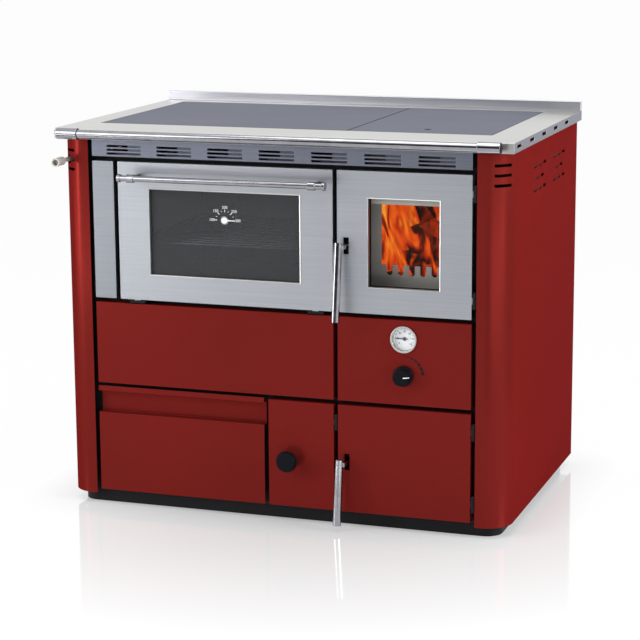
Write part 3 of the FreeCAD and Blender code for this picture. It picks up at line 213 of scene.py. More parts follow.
def merged(node, mend=None):
    """A copy of a solid's mesh with its triangles joined into one skin."""
    work = bmesh.new()
    work.from_mesh(frame["nodes"][node].data)
    bmesh.ops.remove_doubles(work, verts=work.verts, dist=WELD)
    if mend:
        mend(work)
    bmesh.ops.dissolve_limit(work, angle_limit=FLAT, verts=work.verts, edges=work.edges)
    mesh = mesh_from(work, node)
    custom = mesh.attributes.get("custom_normal")
    if custom is not None:
        mesh.attributes.remove(custom)
    return mesh


EDGE_ANGLE = math.radians(32)
BODY_OF = {node: body for body, nodes in frame["record"]["behaviour"]["bodies"].items() for node in nodes}


def eased(finish, *nodes, radius, mend=None):
    """Solids with their sharp edges rounded, as folding, grinding or moulding leaves them."""
    for node in nodes:
        mesh = merged(node, mend)
        mesh.shade_smooth()
        mesh.set_sharp_from_angle(angle=EDGE_ANGLE)
        item = linked("work", mesh)
        bevel = item.modifiers.new("edges", "BEVEL")
        bevel.width = radius
        bevel.segments = 2
        bevel.limit_method = "ANGLE"
        bevel.angle_limit = EDGE_ANGLE
        bevel.harden_normals = True
        piece = settled(node + "_finished", evaluated(item), finish, BODY_OF[node])
        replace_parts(piece, node)


def second_finish(node, finish, chosen):
    """The faces of an eased solid that a test chooses get another finish."""
    mesh = bpy.data.objects[node + "_finished"].data
    mesh.materials.append(finish.material)
    for face in mesh.polygons:
        if chosen(face):
            face.material_index = 1


black_paint = Finish("matt_black_paint", {"Specular IOR Level": 0.12})
dust = black_paint.grain(7.0)
black_paint.set({"Base Color": black_paint.between(dust, shade(17, 17, 19), shade(29, 29, 32)),
                 "Roughness": 0.42 + dust * 0.25})
black_paint.rough(black_paint.grain(900.0), depth=0.0002, strength=0.4)

zinc = Finish("zinc_coated_sheet", {"Metallic": 1.0})
flakes = zinc.node("ShaderNodeTexVoronoi", {"Vector": zinc.place(), "Scale": 150.0}, output="Color")
flake = zinc.node("ShaderNodeSeparateColor", {0: flakes})
zinc.set({"Base Color": zinc.between(flake, shade(150, 156, 160), shade(188, 193, 196)),
          "Roughness": 0.34 + flake * 0.2})

TRAY_SHADED_EDGE = 0.03
tray_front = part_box("base_tray")[0].y
eased(black_paint, "plinth", radius=0.0008)
eased(zinc, "base_tray", radius=0.0006)
# Black paint on the tray's front strip is painted shade at the bottoms of the gaps between the doors.
second_finish("base_tray", black_paint, lambda face: face.center.y < tray_front + TRAY_SHADED_EDGE)


# Cabinet sides and back
# Each side is one steel sheet bent round the front corner, with slots punched in it, and enamelled
# deep red. The back is zinc-coated sheet, held by a row of screws along its edges.
red_enamel = Finish("deep_red_enamel", {"Metallic": 0.3, "Specular IOR Level": 0.0,
                                        "Specular Tint": (0.5, 0.08, 0.2, 1.0)})
cloud = red_enamel.grain(2.6, detail=3.0)
red_enamel.set({"Base Color": red_enamel.between(cloud, shade(104, 31, 26), shade(119, 33, 31)),
                "Roughness": 0.17 + red_enamel.grain(14.0) * 0.1})
red_enamel.rough(red_enamel.grain(420.0, detail=2.0), depth=0.0003, strength=0.12)

SLOT_SPACE = 0.02
DIAGONAL = 0.2
SAME_PLACE = 1e-5


def row_at(wall, height):
    """The points of a wall at one height, from left to right."""
    points = {vertex for face in wall for vertex in face.verts if round(vertex.co.z, 4) == height}
    return sorted(points, key=lambda vertex: vertex.co.x)


def straight_bend(work):
    """The walls between two slots, made again as facets that stand upright all round the bend."""
    for side in (1, -1):
        walls = {}
        for face in work.faces:
            heights = {round(vertex.co.z, 4) for vertex in face.verts}
            diagonal = face.normal.x * side > DIAGONAL and face.normal.y * side < -DIAGONAL
            if len(heights) == 2 and diagonal:
                walls.setdefault(tuple(sorted(heights)), []).append(face)
        for (bottom, top), wall in walls.items():
            lower, upper = row_at(wall, bottom), row_at(wall, top)
            paired = len(lower) == len(upper) and all(
                (first.co.xy - second.co.xy).length < SAME_PLACE for first, second in zip(lower, upper))
            if paired and top - bottom < SLOT_SPACE:
                bmesh.ops.delete(work, geom=wall, context="FACES_ONLY")
                for index in range(1, len(lower)):
                    corners = (lower[index - 1], lower[index], upper[index], upper[index - 1])
                    work.faces.new(corners if side > 0 else corners[::-1])
    work.normal_update()


eased(red_enamel, "left_side_panel", "right_side_panel", radius=0.0008, mend=straight_bend)
dress(zinc, "back_panel")

screw_steel = Finish("zinc_plated_screws", {"Metallic": 1.0, "Roughness": 0.35})
screw_steel.set({"Base Color": screw_steel.between(screw_steel.grain(260.0), shade(128, 130, 132),
                                                   shade(190, 190, 186))})


class Maker(Nodes):
    """A tree of geometry nodes with named inputs; the first is the geometry that it starts from."""

    def __init__(self, name, sockets):
        super().__init__(bpy.data.node_groups.new(name, "GeometryNodeTree"))
        for label, kind in {"Geometry": "Geometry", **sockets}.items():
            self.tree.interface.new_socket(label, in_out="INPUT", socket_type=f"NodeSocket{kind}")
        self.tree.interface.new_socket("Geometry", in_out="OUTPUT", socket_type="NodeSocketGeometry")
        start = self.node("NodeGroupInput")
        self.given = {label: start.other(label) for label in ("Geometry", *sockets)}

    def close(self, geometry):
        """The last nodes of each tree: copies made real, and their finish."""
        real = self.node("GeometryNodeRealizeInstances", {0: geometry})
        finished = self.node("GeometryNodeSetMaterial", {"Geometry": real, "Material": self.given["Finish"]})
        self.node("NodeGroupOutput", {0: finished})

    def made(self, start, values):
        """What the tree makes of a start mesh or curve, as a plain mesh."""
        item = linked("work", start)
        modifier = item.modifiers.new("tree", "NODES")
        modifier.node_group = self.tree
        for socket in self.tree.interface.items_tree:
            if socket.in_out == "INPUT" and socket.name in values:
                modifier[socket.identifier] = values[socket.name]
        return evaluated(item)


# Pan head with a socket in it, made once and set at each screw's place.
SCREW_RADIUS = 0.0042
SCREW_HEIGHT = 0.0022
SCREW_CROWN = SCREW_RADIUS * 0.72
SOCKET_EDGE = SCREW_RADIUS * 0.34
SOCKET_DEPTH = SCREW_HEIGHT * 0.5
pan = bmesh.new()
bmesh.ops.create_cone(pan, cap_ends=True, segments=14, radius1=SCREW_RADIUS, radius2=SCREW_CROWN,
                      depth=SCREW_HEIGHT)
bmesh.ops.translate(pan, verts=pan.verts, vec=(0, 0, SCREW_HEIGHT / 2))
crown = max(pan.faces, key=lambda face: face.calc_center_median().z)
bmesh.ops.inset_region(pan, faces=[crown], thickness=SOCKET_EDGE)
bmesh.ops.translate(pan, verts=crown.verts, vec=(0, 0, -SOCKET_DEPTH))
screw_head = bpy.data.objects.new("screw_head", mesh_from(pan, "screw_head"))

screw_maker = Maker("screws_at_points", {"Screw": "Object", "Turn": "Vector", "Finish": "Material"})
given = screw_maker.given
screw_points = screw_maker.node("GeometryNodeMeshToPoints", {"Mesh": given["Geometry"]})
screw_shape = screw_maker.node("GeometryNodeObjectInfo", {"Object": given["Screw"]}, output="Geometry")
screw_turn = screw_maker.node("FunctionNodeEulerToRotation", {0: given["Turn"]})
screw_maker.close(screw_maker.node("GeometryNodeInstanceOnPoints", {
    "Points": screw_points, "Instance": screw_shape, "Rotation": screw_turn}))

BACKWARD = (-math.pi / 2, 0, 0)


def screws_round(name, node, inset, across, down, body):
    """Screws along the edges of an upright sheet, in its back face."""
    low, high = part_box(node)
    left, right = low.x + inset, high.x - inset
    bottom, top = low.z + inset, high.z - inset
    row = [left + (right - left) * index / across for index in range(across + 1)]
    column = [bottom + (top - bottom) * index / down for index in range(1, down)]
    places = [(x, high.y, z) for x in row for z in (bottom, top)]
    places += [(x, high.y, z) for x in (left, right) for z in column]
    start = bpy.data.meshes.new(name)
    start.from_pydata(places, [], [])
    mesh = screw_maker.made(start, {"Screw": screw_head, "Turn": BACKWARD, "Finish": screw_steel.material})
    settled(name, mesh, screw_steel, body)


screws_round("back_panel_screws", "back_panel", inset=0.012, across=8, down=6, body="cabinet")


# Steel face and fixed fronts
# A black steel face carries the hinges and latches. On it sit a stainless filler strip and
# stainless vent grille, and two red enamelled panels; all are folded from sheet.
SHEET_LINES = (5.0, 700.0, 900.0)


def brushed(name, dark, light, stretch, roughness):
    """Stainless sheet ground in one direction: long fine lines and a soft sheen."""
    steel = Finish(name, {"Metallic": 1.0})
    lines = steel.grain(1.0, detail=3.0, stretch=stretch)
    broad = steel.grain(3.0, detail=2.0)
    steel.set({"Base Color": steel.between(lines * 0.7 + broad * 0.3, dark, light),
               "Roughness": roughness + lines * 0.14})
    steel.rough(lines, depth=0.0001, strength=0.25)
    return steel


door_steel = brushed("brushed_stainless", shade(149, 153, 159), shade(187, 190, 196), SHEET_LINES, 0.3)
grille_steel = brushed("grille_stainless", shade(99, 103, 115), shade(131, 135, 148), SHEET_LINES, 0.28)
filler_steel = brushed("filler_stainless", shade(124, 128, 134), shade(158, 161, 167), SHEET_LINES, 0.3)

dress(black_paint, "face_frame")
eased(filler_steel, "filler_panel", radius=0.0007)
eased(grille_steel, "vent_grille", radius=0.0006)
dress(grille_steel, "grille_shield")
eased(red_enamel, "middle_panel", "control_panel", radius=0.0015)


# Boiler, fire and ash pan
# The boiler is a welded plate jacket round the fire. Firebricks line it above a cast grate, a
# steel guard with a comb keeps the logs in, and the ash falls into a zinc-coated pan.
plate = Finish("boiler_plate", {"Metallic": 0.75})
scale_marks = plate.grain(9.0, detail=6.0)
plate.set({"Base Color": plate.between(scale_marks, shade(70, 68, 66), shade(112, 108, 104)),
           "Roughness": 0.45 + scale_marks * 0.25})
plate.rough(plate.grain(160.0), depth=0.0004, strength=0.3)

guard_steel = Finish("heat_marked_steel", {"Metallic": 0.2})
heat = guard_steel.grain(12.0)
guard_steel.set({"Base Color": guard_steel.between(heat, shade(166, 163, 157), shade(204, 201, 194)),
                 "Roughness": 0.42 + heat * 0.2})

cast_iron = Finish("rough_cast_iron", {"Metallic": 0.6})
sand = cast_iron.grain(300.0, detail=3.0)
cast_iron.set({"Base Color": cast_iron.between(sand, shade(30, 29, 29), shade(62, 60, 58)),
               "Roughness": 0.6 + sand * 0.25})
cast_iron.rough(sand, depth=0.0008, strength=0.6)

fire_clay = Finish("sooty_firebrick", {"Roughness": 0.9})
soot = fire_clay.levels(fire_clay.grain(8.0, detail=5.0), 0.35, 0.7)
fire_clay.set({"Base Color": fire_clay.between(soot, shade(64, 52, 42), shade(176, 148, 112))})
fire_clay.rough(fire_clay.grain(220.0, detail=3.0), depth=0.001, strength=0.7)

dress(plate, "boiler_jacket", "jacket_cover", "boiler_connections")
dress(cast_iron, "fire_grate")
eased(fire_clay, "firebricks", radius=0.002)
eased(guard_steel, "log_guard", radius=0.0006)
dress(zinc, "ash_pan")

# Logs burning on the grate: round wood, its bark charred and glowing where it cracks.
char = Finish("charred_wood", {"Roughness": 0.9, "Emission Strength": 1.0})
bark = char.grain(60.0, detail=6.0, stretch=(1.0, 0.25, 1.0))
glow = char.levels(char.grain(26.0, detail=5.0, distortion=1.2), 0.55, 0.72)
char.set({"Base Color": char.between(bark, shade(14, 10, 8), shade(58, 40, 28)),
          "Emission Color": char.between(glow, BLACK, shade(216, 70, 10))})
char.rough(bark, depth=0.003, strength=0.8)

fire_low, fire_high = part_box("firebricks")
HEARTH = Vector(((fire_low.x + fire_high.x) / 2, 0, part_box("fire_grate")[1].z))
LOG_RINGS = 26
LOG_SIDES = 22
LOG_EDGE = math.radians(50)
LOG_BULGE = 0.16
LOG_RIDGE = 0.08


def between_rings(work, first, second):
    """Faces from one closed ring of points to the next."""
    for index in range(len(first)):
        after = (index + 1) % len(first)
        work.faces.new((first[index], first[after], second[after], second[index]))


def log_mesh(start, end, radius, seed):
    """A log as rings of points round its axis, drawn in and out along the grain."""
    axis = end - start
    across = axis.cross(Vector((0, 0, 1))).normalized()
    upward = across.cross(axis).normalized()
    work = bmesh.new()
    rings = []
    for number in range(LOG_RINGS + 1):
        along = number / LOG_RINGS
        ring = []
        for index in range(LOG_SIDES):
            angle = 2 * math.pi * index / LOG_SIDES
            cosine, sine = math.cos(angle), math.sin(angle)
            bulge = noise.noise(Vector((cosine * 1.5, sine * 1.5, along * 2.0 + seed)))
            ridge = noise.noise(Vector((angle * 3.0, seed, along * 5.0)))
            reach = radius * (1 + LOG_BULGE * bulge + LOG_RIDGE * ridge)
            ring.append(work.verts.new(start + axis * along + (across * cosine + upward * sine) * reach))
        rings.append(ring)
    for first, second in zip(rings, rings[1:]):
        between_rings(work, first, second)
    work.faces.new(rings[0][::-1])
    work.faces.new(rings[-1])
    bmesh.ops.recalc_face_normals(work, faces=work.faces)
    mesh = mesh_from(work, "log")
    mesh.shade_smooth()
    mesh.set_sharp_from_angle(angle=LOG_EDGE)
    return mesh


# Each log's two ends from the middle of the hearth, its radius, and where its noise starts.
LOGS = (
    ((-0.075, -0.19, 0.042), (-0.060, 0.17, 0.046), 0.036, 1.0),
    ((0.055, -0.20, 0.044), (0.070, 0.16, 0.042), 0.037, 4.0),
    ((-0.082, -0.10, 0.116), (0.078, -0.02, 0.120), 0.034, 7.0),
    ((-0.02, -0.16, 0.185), (0.03, 0.12, 0.190), 0.032, 9.0),
)
for number, (start, end, radius, seed) in enumerate(LOGS, start=1):
    log = log_mesh(HEARTH + Vector(start), HEARTH + Vector(end), radius, seed)
    settled(f"burning_log_{number}", log, char, "cabinet")

# Flames: curling sheets of light that rise from the logs and let the dark show between them.
flame = Finish("flames", {"Base Color": BLACK, "Roughness": 1.0, "Specular IOR Level": 0.0,
                          "Emission Strength": 1.0})
tongues = flame.grain(8.5, detail=3.0, stretch=(1.0, 1.6, 0.42), distortion=1.6)
licks = flame.grain(26.0, detail=3.0, stretch=(1.0, 1.0, 0.3), distortion=2.2)
fire = tongues * 0.68 + licks * 0.32
flame.set({
    "Emission Color": flame.ramp(fire, (
        (0.46, shade(96, 12, 0)), (0.52, shade(192, 44, 4)), (0.58, shade(240, 94, 12)),
        (0.64, shade(255, 156, 42)), (0.72, shade(255, 210, 106)))),
    "Alpha": flame.levels(fire, 0.47, 0.54)})

# Each sheet's place from front to back, half its width, and its height.
FLAME_SHEETS = ((-0.19, 0.100, 0.22), (-0.07, 0.098, 0.24), (0.06, 0.095, 0.24))
FLAME_FOOT = 0.115
FLAME_SWAY = 0.022
FLAME_CELLS = 24
flames = bmesh.new()
for depth, half, height in FLAME_SHEETS:
    rows = []
    for row in range(FLAME_CELLS + 1):
        level = HEARTH.z + FLAME_FOOT + height * row / FLAME_CELLS
        shares = [column / FLAME_CELLS * 2 - 1 for column in range(FLAME_CELLS + 1)]
        sways = [FLAME_SWAY * math.sin(share * 5.0 + depth * 40 + row * 0.2) for share in shares]
        rows.append([flames.verts.new((HEARTH.x + half * share, depth + sway, level))
                     for share, sway in zip(shares, sways)])
    for lower, upper in zip(rows, rows[1:]):
        for column in range(FLAME_CELLS):
            flames.faces.new((lower[column], lower[column + 1], upper[column + 1], upper[column]))
flame_mesh = mesh_from(flames, "flames")
flame_mesh.shade_smooth()
settled("flames", flame_mesh, flame, "cabinet")


# Oven
# The oven is a folded liner in dark, speckled enamel, with ledges for a rack. The rack is made of
# polished steel wires welded to a frame.
oven_enamel = Finish("speckled_oven_enamel", {"Specular IOR Level": 0.4, "Roughness": 0.28})
cells = oven_enamel.node("ShaderNodeTexVoronoi", {"Vector": oven_enamel.place(), "Scale": 260.0})
specks = oven_enamel.levels(cells, 0.12, 0.2)
oven_enamel.set({"Base Color": oven_enamel.between(specks, shade(170, 170, 170), shade(96, 97, 100))})
dress(oven_enamel, "oven_liner")

polished = Finish("polished_steel", {"Metallic": 1.0})
swirl = polished.grain(40.0, detail=3.0)
polished.set({"Base Color": polished.between(swirl, shade(138, 139, 144), shade(170, 170, 175)),
              "Roughness": 0.08 + swirl * 0.1})
dress(polished, "oven_rack")


# Hob, hob frame and upstand
# Two cast plates, ground on top and dark at their edges, lie in a pressed stainless frame whose
# edge is folded down and slotted. A stainless upstand is fixed along the back.
hob_iron = Finish("ground_hob_iron", {"Metallic": 0.1, "Specular IOR Level": 0.12})
grinding = hob_iron.grain(1.0, detail=3.0, stretch=(7.0, 420.0, 420.0))
wear = grinding * 0.5 + hob_iron.grain(3.5) * 0.5
hob_iron.set({"Base Color": hob_iron.between(wear, shade(72, 76, 87), shade(103, 107, 120)),
              "Roughness": 0.46 + grinding * 0.16})
hob_iron.rough(grinding, depth=0.0002, strength=0.2)

HOB_LINES = (5.0, 600.0, 700.0)
frame_steel = brushed("hob_frame_stainless", shade(170, 171, 170), shade(212, 211, 206), HOB_LINES, 0.24)
upstand_steel = brushed("upstand_stainless", shade(176, 177, 184), shade(216, 216, 222), HOB_LINES, 0.3)

SHADED_SIDE_FACING = 0.7
LEVEL = 0.98
eased(frame_steel, "hob_frame", radius=0.0012)
# The frame's faces that look sideways get the darker grille steel: painted shade on its folded sides.
second_finish("hob_frame", grille_steel, lambda face: abs(face.normal.x) > SHADED_SIDE_FACING)
eased(upstand_steel, "splashback", radius=0.0010)
for hob_plate in ("hob_plate_left", "hob_plate_right"):
    eased(hob_iron, hob_plate, radius=0.0024)
    second_finish(hob_plate, cast_iron, lambda face: face.normal.z < LEVEL)


# Front rail
# A polished steel tube runs along the hob, held at each end by a polished fitting. The open ends
# of the fittings are closed with black plugs.
PLUG_FACING = 0.9
eased(polished, "front_rail", "rail_fittings", radius=0.0008)
second_finish("rail_fittings", black_paint, lambda face: abs(face.normal.x) > PLUG_FACING)


# Doors
# The oven and fire doors are stainless skins folded round a pane; the ash and cleaning doors are
# red enamelled. Behind each skin is a liner plate, and all but the cleaning door have a rope seal.
pane = Finish("dark_door_glass", {"Base Color": shade(64, 66, 69), "Roughness": 0.04,
                                  "Specular IOR Level": 0.5})
pane.set({"Alpha": 0.38 + pane.grain(5.0) * 0.12})
fire_pane = Finish("clear_fire_glass", {"Base Color": shade(40, 36, 32), "Roughness": 0.04,
                                        "Specular IOR Level": 0.4})
fire_pane.set({"Alpha": 0.05 + fire_pane.grain(9.0) * 0.1})

eased(door_steel, "oven_door_skin", "fire_door_skin", radius=0.0016)
eased(red_enamel, "ash_door_skin", "small_door_skin", radius=0.0015)
dress(pane, "oven_door_glass")
dress(fire_pane, "fire_door_glass")
dress(oven_enamel, "oven_door_liner")
dress(black_paint, "fire_door_liner", "ash_door_liner", "small_door_liner")
dress(plate, "hinge_pins")

# The hinge knuckles stand beyond the skins' edges, in the gaps; their black is painted shade, so the gaps
# read dark.
KNUCKLE_START = 0.0035
for door, axis, side in (("fire", 0, 1), ("ash", 0, 1), ("small", 0, 1), ("oven", 2, -1)):
    liner_low, liner_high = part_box(f"{door}_door_liner")
    edge = (liner_high if side > 0 else liner_low)[axis] + side * KNUCKLE_START
    second_finish(f"{door}_door_skin", black_paint, lambda face: (face.center[axis] - edge) * side > 0)

# Liner screws, one row round each liner plate, on the face that looks into the stove.
for door, inset, across, down in (("oven", 0.016, 4, 3), ("fire", 0.016, 3, 3), ("ash", 0.016, 3, 2),
                                  ("small", 0.018, 2, 3)):
    screws_round(f"{door}_door_liner_screws", f"{door}_door_liner", inset, across, down, f"{door}_door")

# A bright hem is pressed round each window, and catches the light along its edge.
WINDOW_DROP = 0.058
ON_EDGE = 0.001
HEM_WIDTH = 0.0022
HEM_RISE = 0.0008
HEM_PROFILE = ((0.0, 0.0), (0.0, HEM_RISE * 0.6), (HEM_WIDTH * 0.5, HEM_RISE), (HEM_WIDTH, 0.0))
for door in ("oven", "fire"):
    skin = [vertex.co for vertex in frame["nodes"][f"{door}_door_skin"].data.vertices]
    skin_front = min(point.y for point in skin)
    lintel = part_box(f"{door}_door_skin")[1].z - WINDOW_DROP
    along_lintel = [point.x for point in skin if abs(point.z - lintel) < ON_EDGE]
    left, right = min(along_lintel), max(along_lintel)
    sill = min(point.z for point in skin if abs(point.x - left) < ON_EDGE)
    hem = bmesh.new()
    rings = []
    for reach, rise in HEM_PROFILE:
        opening = ((left - reach, sill - reach), (right + reach, sill - reach),
                   (right + reach, lintel + reach), (left - reach, lintel + reach))
        rings.append([hem.verts.new((x, skin_front - rise, z)) for x, z in opening])
    for inner, outer in zip(rings, rings[1:]):
        between_rings(hem, inner, outer)
    bmesh.ops.recalc_face_normals(hem, faces=hem.faces)
    settled(f"{door}_door_window_hem", mesh_from(hem, "hem"), frame_steel, f"{door}_door")

# A steel strip on the fire door's liner sends clean air down over the pane; its lower lip is folded in.
STRIP_SIDE = 0.050
STRIP_SHEET = 0.0012
STRIP_FOLD = ((0.0001, 0.012), (0.0001, -0.008), (0.0004, -0.0105), (0.0011, -0.0125), (0.0022, -0.014))
liner_low, liner_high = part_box("fire_door_liner")
window_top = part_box("fire_door_skin")[1].z - WINDOW_DROP
outline = [(liner_high.y + out, window_top + up) for out, up in STRIP_FOLD]
outline += [(y + STRIP_SHEET, z) for y, z in reversed(outline)]
air_strip = bmesh.new()
sections = [[air_strip.verts.new((x, y, z)) for y, z in outline]
            for x in (liner_low.x + STRIP_SIDE, liner_high.x - STRIP_SIDE)]
between_rings(air_strip, *sections)
for section in sections:
    air_strip.faces.new(section)
bmesh.ops.recalc_face_normals(air_strip, faces=air_strip.faces)
strip_mesh = mesh_from(air_strip, "air_strip")
strip_mesh.shade_smooth()
strip_mesh.set_sharp_from_angle(angle=EDGE_ANGLE)
settled("fire_door_air_strip", strip_mesh, guard_steel, "fire_door")

# Rope seals: three strands of glass yarn twisted together, pressed flat between door and face.
yarn = Finish("glass_yarn", {"Roughness": 0.95, "Sheen Weight": 0.3})
fibres = yarn.grain(700.0, detail=2.0)
yarn.set({"Base Color": yarn.between(fibres, shade(58, 56, 54), shade(116, 112, 106))})
yarn.rough(fibres, depth=0.0004, strength=0.6)

STRANDS = 3
ROPE_STEP = 0.0022
rope_maker = Maker("twisted_rope", {"Strands": "Int", "Half width": "Float", "Half depth": "Float",
                                    "Strand": "Float", "Twist": "Float", "Finish": "Material"})
given = rope_maker.given
path = rope_maker.node("GeometryNodeResampleCurve", {"Curve": given["Geometry"], "Length": ROPE_STEP},
                       mode="LENGTH")
copies = rope_maker.node("GeometryNodeDuplicateElements", {"Geometry": path, "Amount": given["Strands"]},
                         domain="SPLINE")
run = rope_maker.node("GeometryNodeSplineParameter", output="Length")
twist = run * given["Twist"] + copies.other("Duplicate Index") * (2 * math.pi / STRANDS)
wide = twist.math("COSINE", twist) * given["Half width"]
deep = twist.math("SINE", twist) * given["Half depth"]
tangent = rope_maker.node("GeometryNodeInputTangent")
sideways = rope_maker.node("ShaderNodeVectorMath", {0: tangent, 1: (0.0, 1.0, 0.0)},
                           operation="CROSS_PRODUCT")
flat = rope_maker.node("ShaderNodeVectorMath", {0: sideways, "Scale": wide}, operation="SCALE")
thick = rope_maker.node("ShaderNodeCombineXYZ", {"Y": deep})
shift = rope_maker.node("ShaderNodeVectorMath", {0: flat, 1: thick}, operation="ADD")
twisted = rope_maker.node("GeometryNodeSetPosition", {"Geometry": copies, "Offset": shift})
profile = rope_maker.node("GeometryNodeCurvePrimitiveCircle", {"Resolution": 6, "Radius": given["Strand"]})
rope_maker.close(rope_maker.node("GeometryNodeCurveToMesh", {"Curve": twisted, "Profile Curve": profile}))

ROPE = {"Strands": STRANDS, "Half width": 0.0023, "Half depth": 0.0008, "Strand": 0.0011, "Twist": 520.0,
        "Finish": yarn.material}
ROPE_INSET = 0.0035
ROPE_CORNER = 0.010
CORNER_STEPS = 6
for door in ("oven", "fire", "ash"):
    low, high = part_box(f"{door}_door_seal")
    middle = (low.y + high.y) / 2
    corners = ((low.x, 1, low.z, 1), (high.x, -1, low.z, 1),
               (high.x, -1, high.z, -1), (low.x, 1, high.z, -1))
    places = []
    for index, (x, inward_x, z, inward_z) in enumerate(corners):
        centre_x = x + inward_x * (ROPE_INSET + ROPE_CORNER)
        centre_z = z + inward_z * (ROPE_INSET + ROPE_CORNER)
        for number in range(CORNER_STEPS + 1):
            bend = math.radians(180 + 90 * index + 90 * number / CORNER_STEPS)
            places.append((centre_x + ROPE_CORNER * math.cos(bend), middle,
                           centre_z + ROPE_CORNER * math.sin(bend)))
    route = bpy.data.curves.new(f"{door}_seal_route", "CURVE")
    route.dimensions = "3D"
    spline = route.splines.new("POLY")
    spline.points.add(len(places) - 1)
    for point, place in zip(spline.points, places):
        point.co = (*place, 1.0)
    spline.use_cyclic_u = True
    rope_mesh = rope_maker.made(route, ROPE)
    rope_mesh.shade_smooth()
    rope = settled(f"{door}_door_rope", rope_mesh, yarn, f"{door}_door")
    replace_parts(rope, f"{door}_door_seal")


# Latch levers and oven handle
# Each latch lever is a polished tube on a welded arm. The oven handle is a polished bar between
# two turned posts.
eased(polished, "fire_lever", "ash_lever", "oven_handle", radius=0.0007)


# Oven thermometer
# A bimetal thermometer in a polished case sits in the oven glass. Its pointer is white, and its
# scale is printed on the pane in white.
white_print = Finish("white_print", {"Roughness": 0.5})
white_print.set({"Base Color": white_print.between(white_print.grain(300.0), shade(226, 226, 224),
                                                   shade(246, 246, 244))})
eased(polished, "oven_thermometer", radius=0.0005)
eased(white_print, "oven_thermometer_pointer", radius=0.0003)

mark_maker = Maker("marks_round_a_dial", {"Count": "Int", "Start": "Float", "Turn": "Float",
                                          "Radius": "Float", "Mark": "Vector", "Finish": "Material"})
given = mark_maker.given
many = mark_maker.node("GeometryNodePoints", {"Count": given["Count"]})
angle = mark_maker.node("GeometryNodeInputIndex") * given["Turn"] + given["Start"]
direction = mark_maker.node("ShaderNodeCombineXYZ", {"X": angle.math("COSINE", angle),
                                                     "Z": angle.math("SINE", angle)})
spot = mark_maker.node("ShaderNodeVectorMath", {0: direction, "Scale": given["Radius"]}, operation="SCALE")
spread = mark_maker.node("GeometryNodeSetPosition", {"Geometry": many, "Position": spot})
lean = mark_maker.node("ShaderNodeCombineXYZ", {"Y": angle * -1.0})
facing = mark_maker.node("FunctionNodeEulerToRotation", {0: lean})
block = mark_maker.node("GeometryNodeMeshCube", {"Size": given["Mark"]})
mark_maker.close(mark_maker.node("GeometryNodeInstanceOnPoints", {
    "Points": spread, "Instance": block, "Rotation": facing}))

PRINT = 0.0001
SIZE_PER_HEIGHT = 1.4


def dial_marks(middle, count, start, turn, radius, mark, finish):
    """Equal marks round a middle, the first at the start angle and each a turn further on."""
    mesh = mark_maker.made(bpy.data.meshes.new("marks"), {
        "Count": count, "Start": math.radians(start), "Turn": math.radians(turn), "Radius": radius,
        "Mark": mark, "Finish": finish.material})
    mesh.transform(Matrix.Translation(middle))
    return mesh


def numeral(number, height, middle):
    """A printed number, standing upright and facing forward, as a thin mesh."""
    letters = bpy.data.curves.new("numeral", "FONT")
    letters.body = str(number)
    letters.size = height * SIZE_PER_HEIGHT
    letters.align_x = "CENTER"
    letters.align_y = "CENTER"
    letters.extrude = PRINT / 2
    mesh = evaluated(linked("work", letters))
    mesh.transform(Matrix.Translation(middle) @ Euler((math.pi / 2, 0, 0)).to_matrix().to_4x4())
    return mesh


def printed(name, meshes, finish, body):
    """Several thin prints as one piece."""
    work = bmesh.new()
    for mesh in meshes:
        work.from_mesh(mesh)
    settled(name, mesh_from(work, name), finish, body)


def seen_middle(node, depth):
    """The middle of a round part as it is seen from the front, at a given depth."""
    low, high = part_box(node)
    return Vector(((low.x + high.x) / 2, depth, (low.z + high.z) / 2))


def round_to(degrees, across, up):
    """The way from a dial's middle to a place on an oval, at an angle from the right."""
    bend = math.radians(degrees)
    return Vector((math.cos(bend) * across, 0, math.sin(bend) * up))


THERMO = seen_middle("oven_thermometer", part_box("oven_door_glass")[0].y - PRINT)
THERMO_START = 180
THERMO_TURN = -45
THERMO_RADIUS = 0.0205
THERMO_NUMBERS = (0.030, 0.028)
THERMO_NUMBER_HEIGHT = 0.0062
thermo_prints = []
for index in range(5):
    place = THERMO + round_to(THERMO_START + THERMO_TURN * index, *THERMO_NUMBERS)
    thermo_prints.append(numeral(100 + 50 * index, THERMO_NUMBER_HEIGHT, place))
for count, start, length, width in ((5, THERMO_START, 0.0060, 0.0013),
                                    (4, THERMO_START + THERMO_TURN / 2, 0.0030, 0.0010)):
    thermo_prints.append(dial_marks(THERMO, count, start, THERMO_TURN, THERMO_RADIUS,
                                    (length, PRINT, width), white_print))
printed("oven_thermometer_scale", thermo_prints, white_print, "oven_door")


# Cleaning door pull and log drawer
# The pull is turned black plastic. The drawer has a red enamelled front with a finger recess under
# its lip, on a folded zinc-coated box.
black_plastic = Finish("black_plastic", {"Specular IOR Level": 0.07})
moulding = black_plastic.grain(500.0, detail=2.0)
black_plastic.set({"Base Color": black_plastic.between(moulding, shade(11, 12, 16), shade(19, 20, 26)),
                   "Roughness": 0.3 + moulding * 0.15})
eased(black_plastic, "small_door_pull", radius=0.0012)
eased(red_enamel, "drawer_front", radius=0.0015)
dress(zinc, "drawer_box")

# The top of the drawer's lip is raised, which leaves a narrow gap below the panel above it.
LIP_EDGE = 0.004
LIP_RISE = 0.003
lip_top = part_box("drawer_front")[1].z
for vertex in bpy.data.objects["drawer_front_finished"].data.vertices:
    if vertex.co.z > lip_top - LIP_EDGE:
        vertex.co.z += LIP_RISE


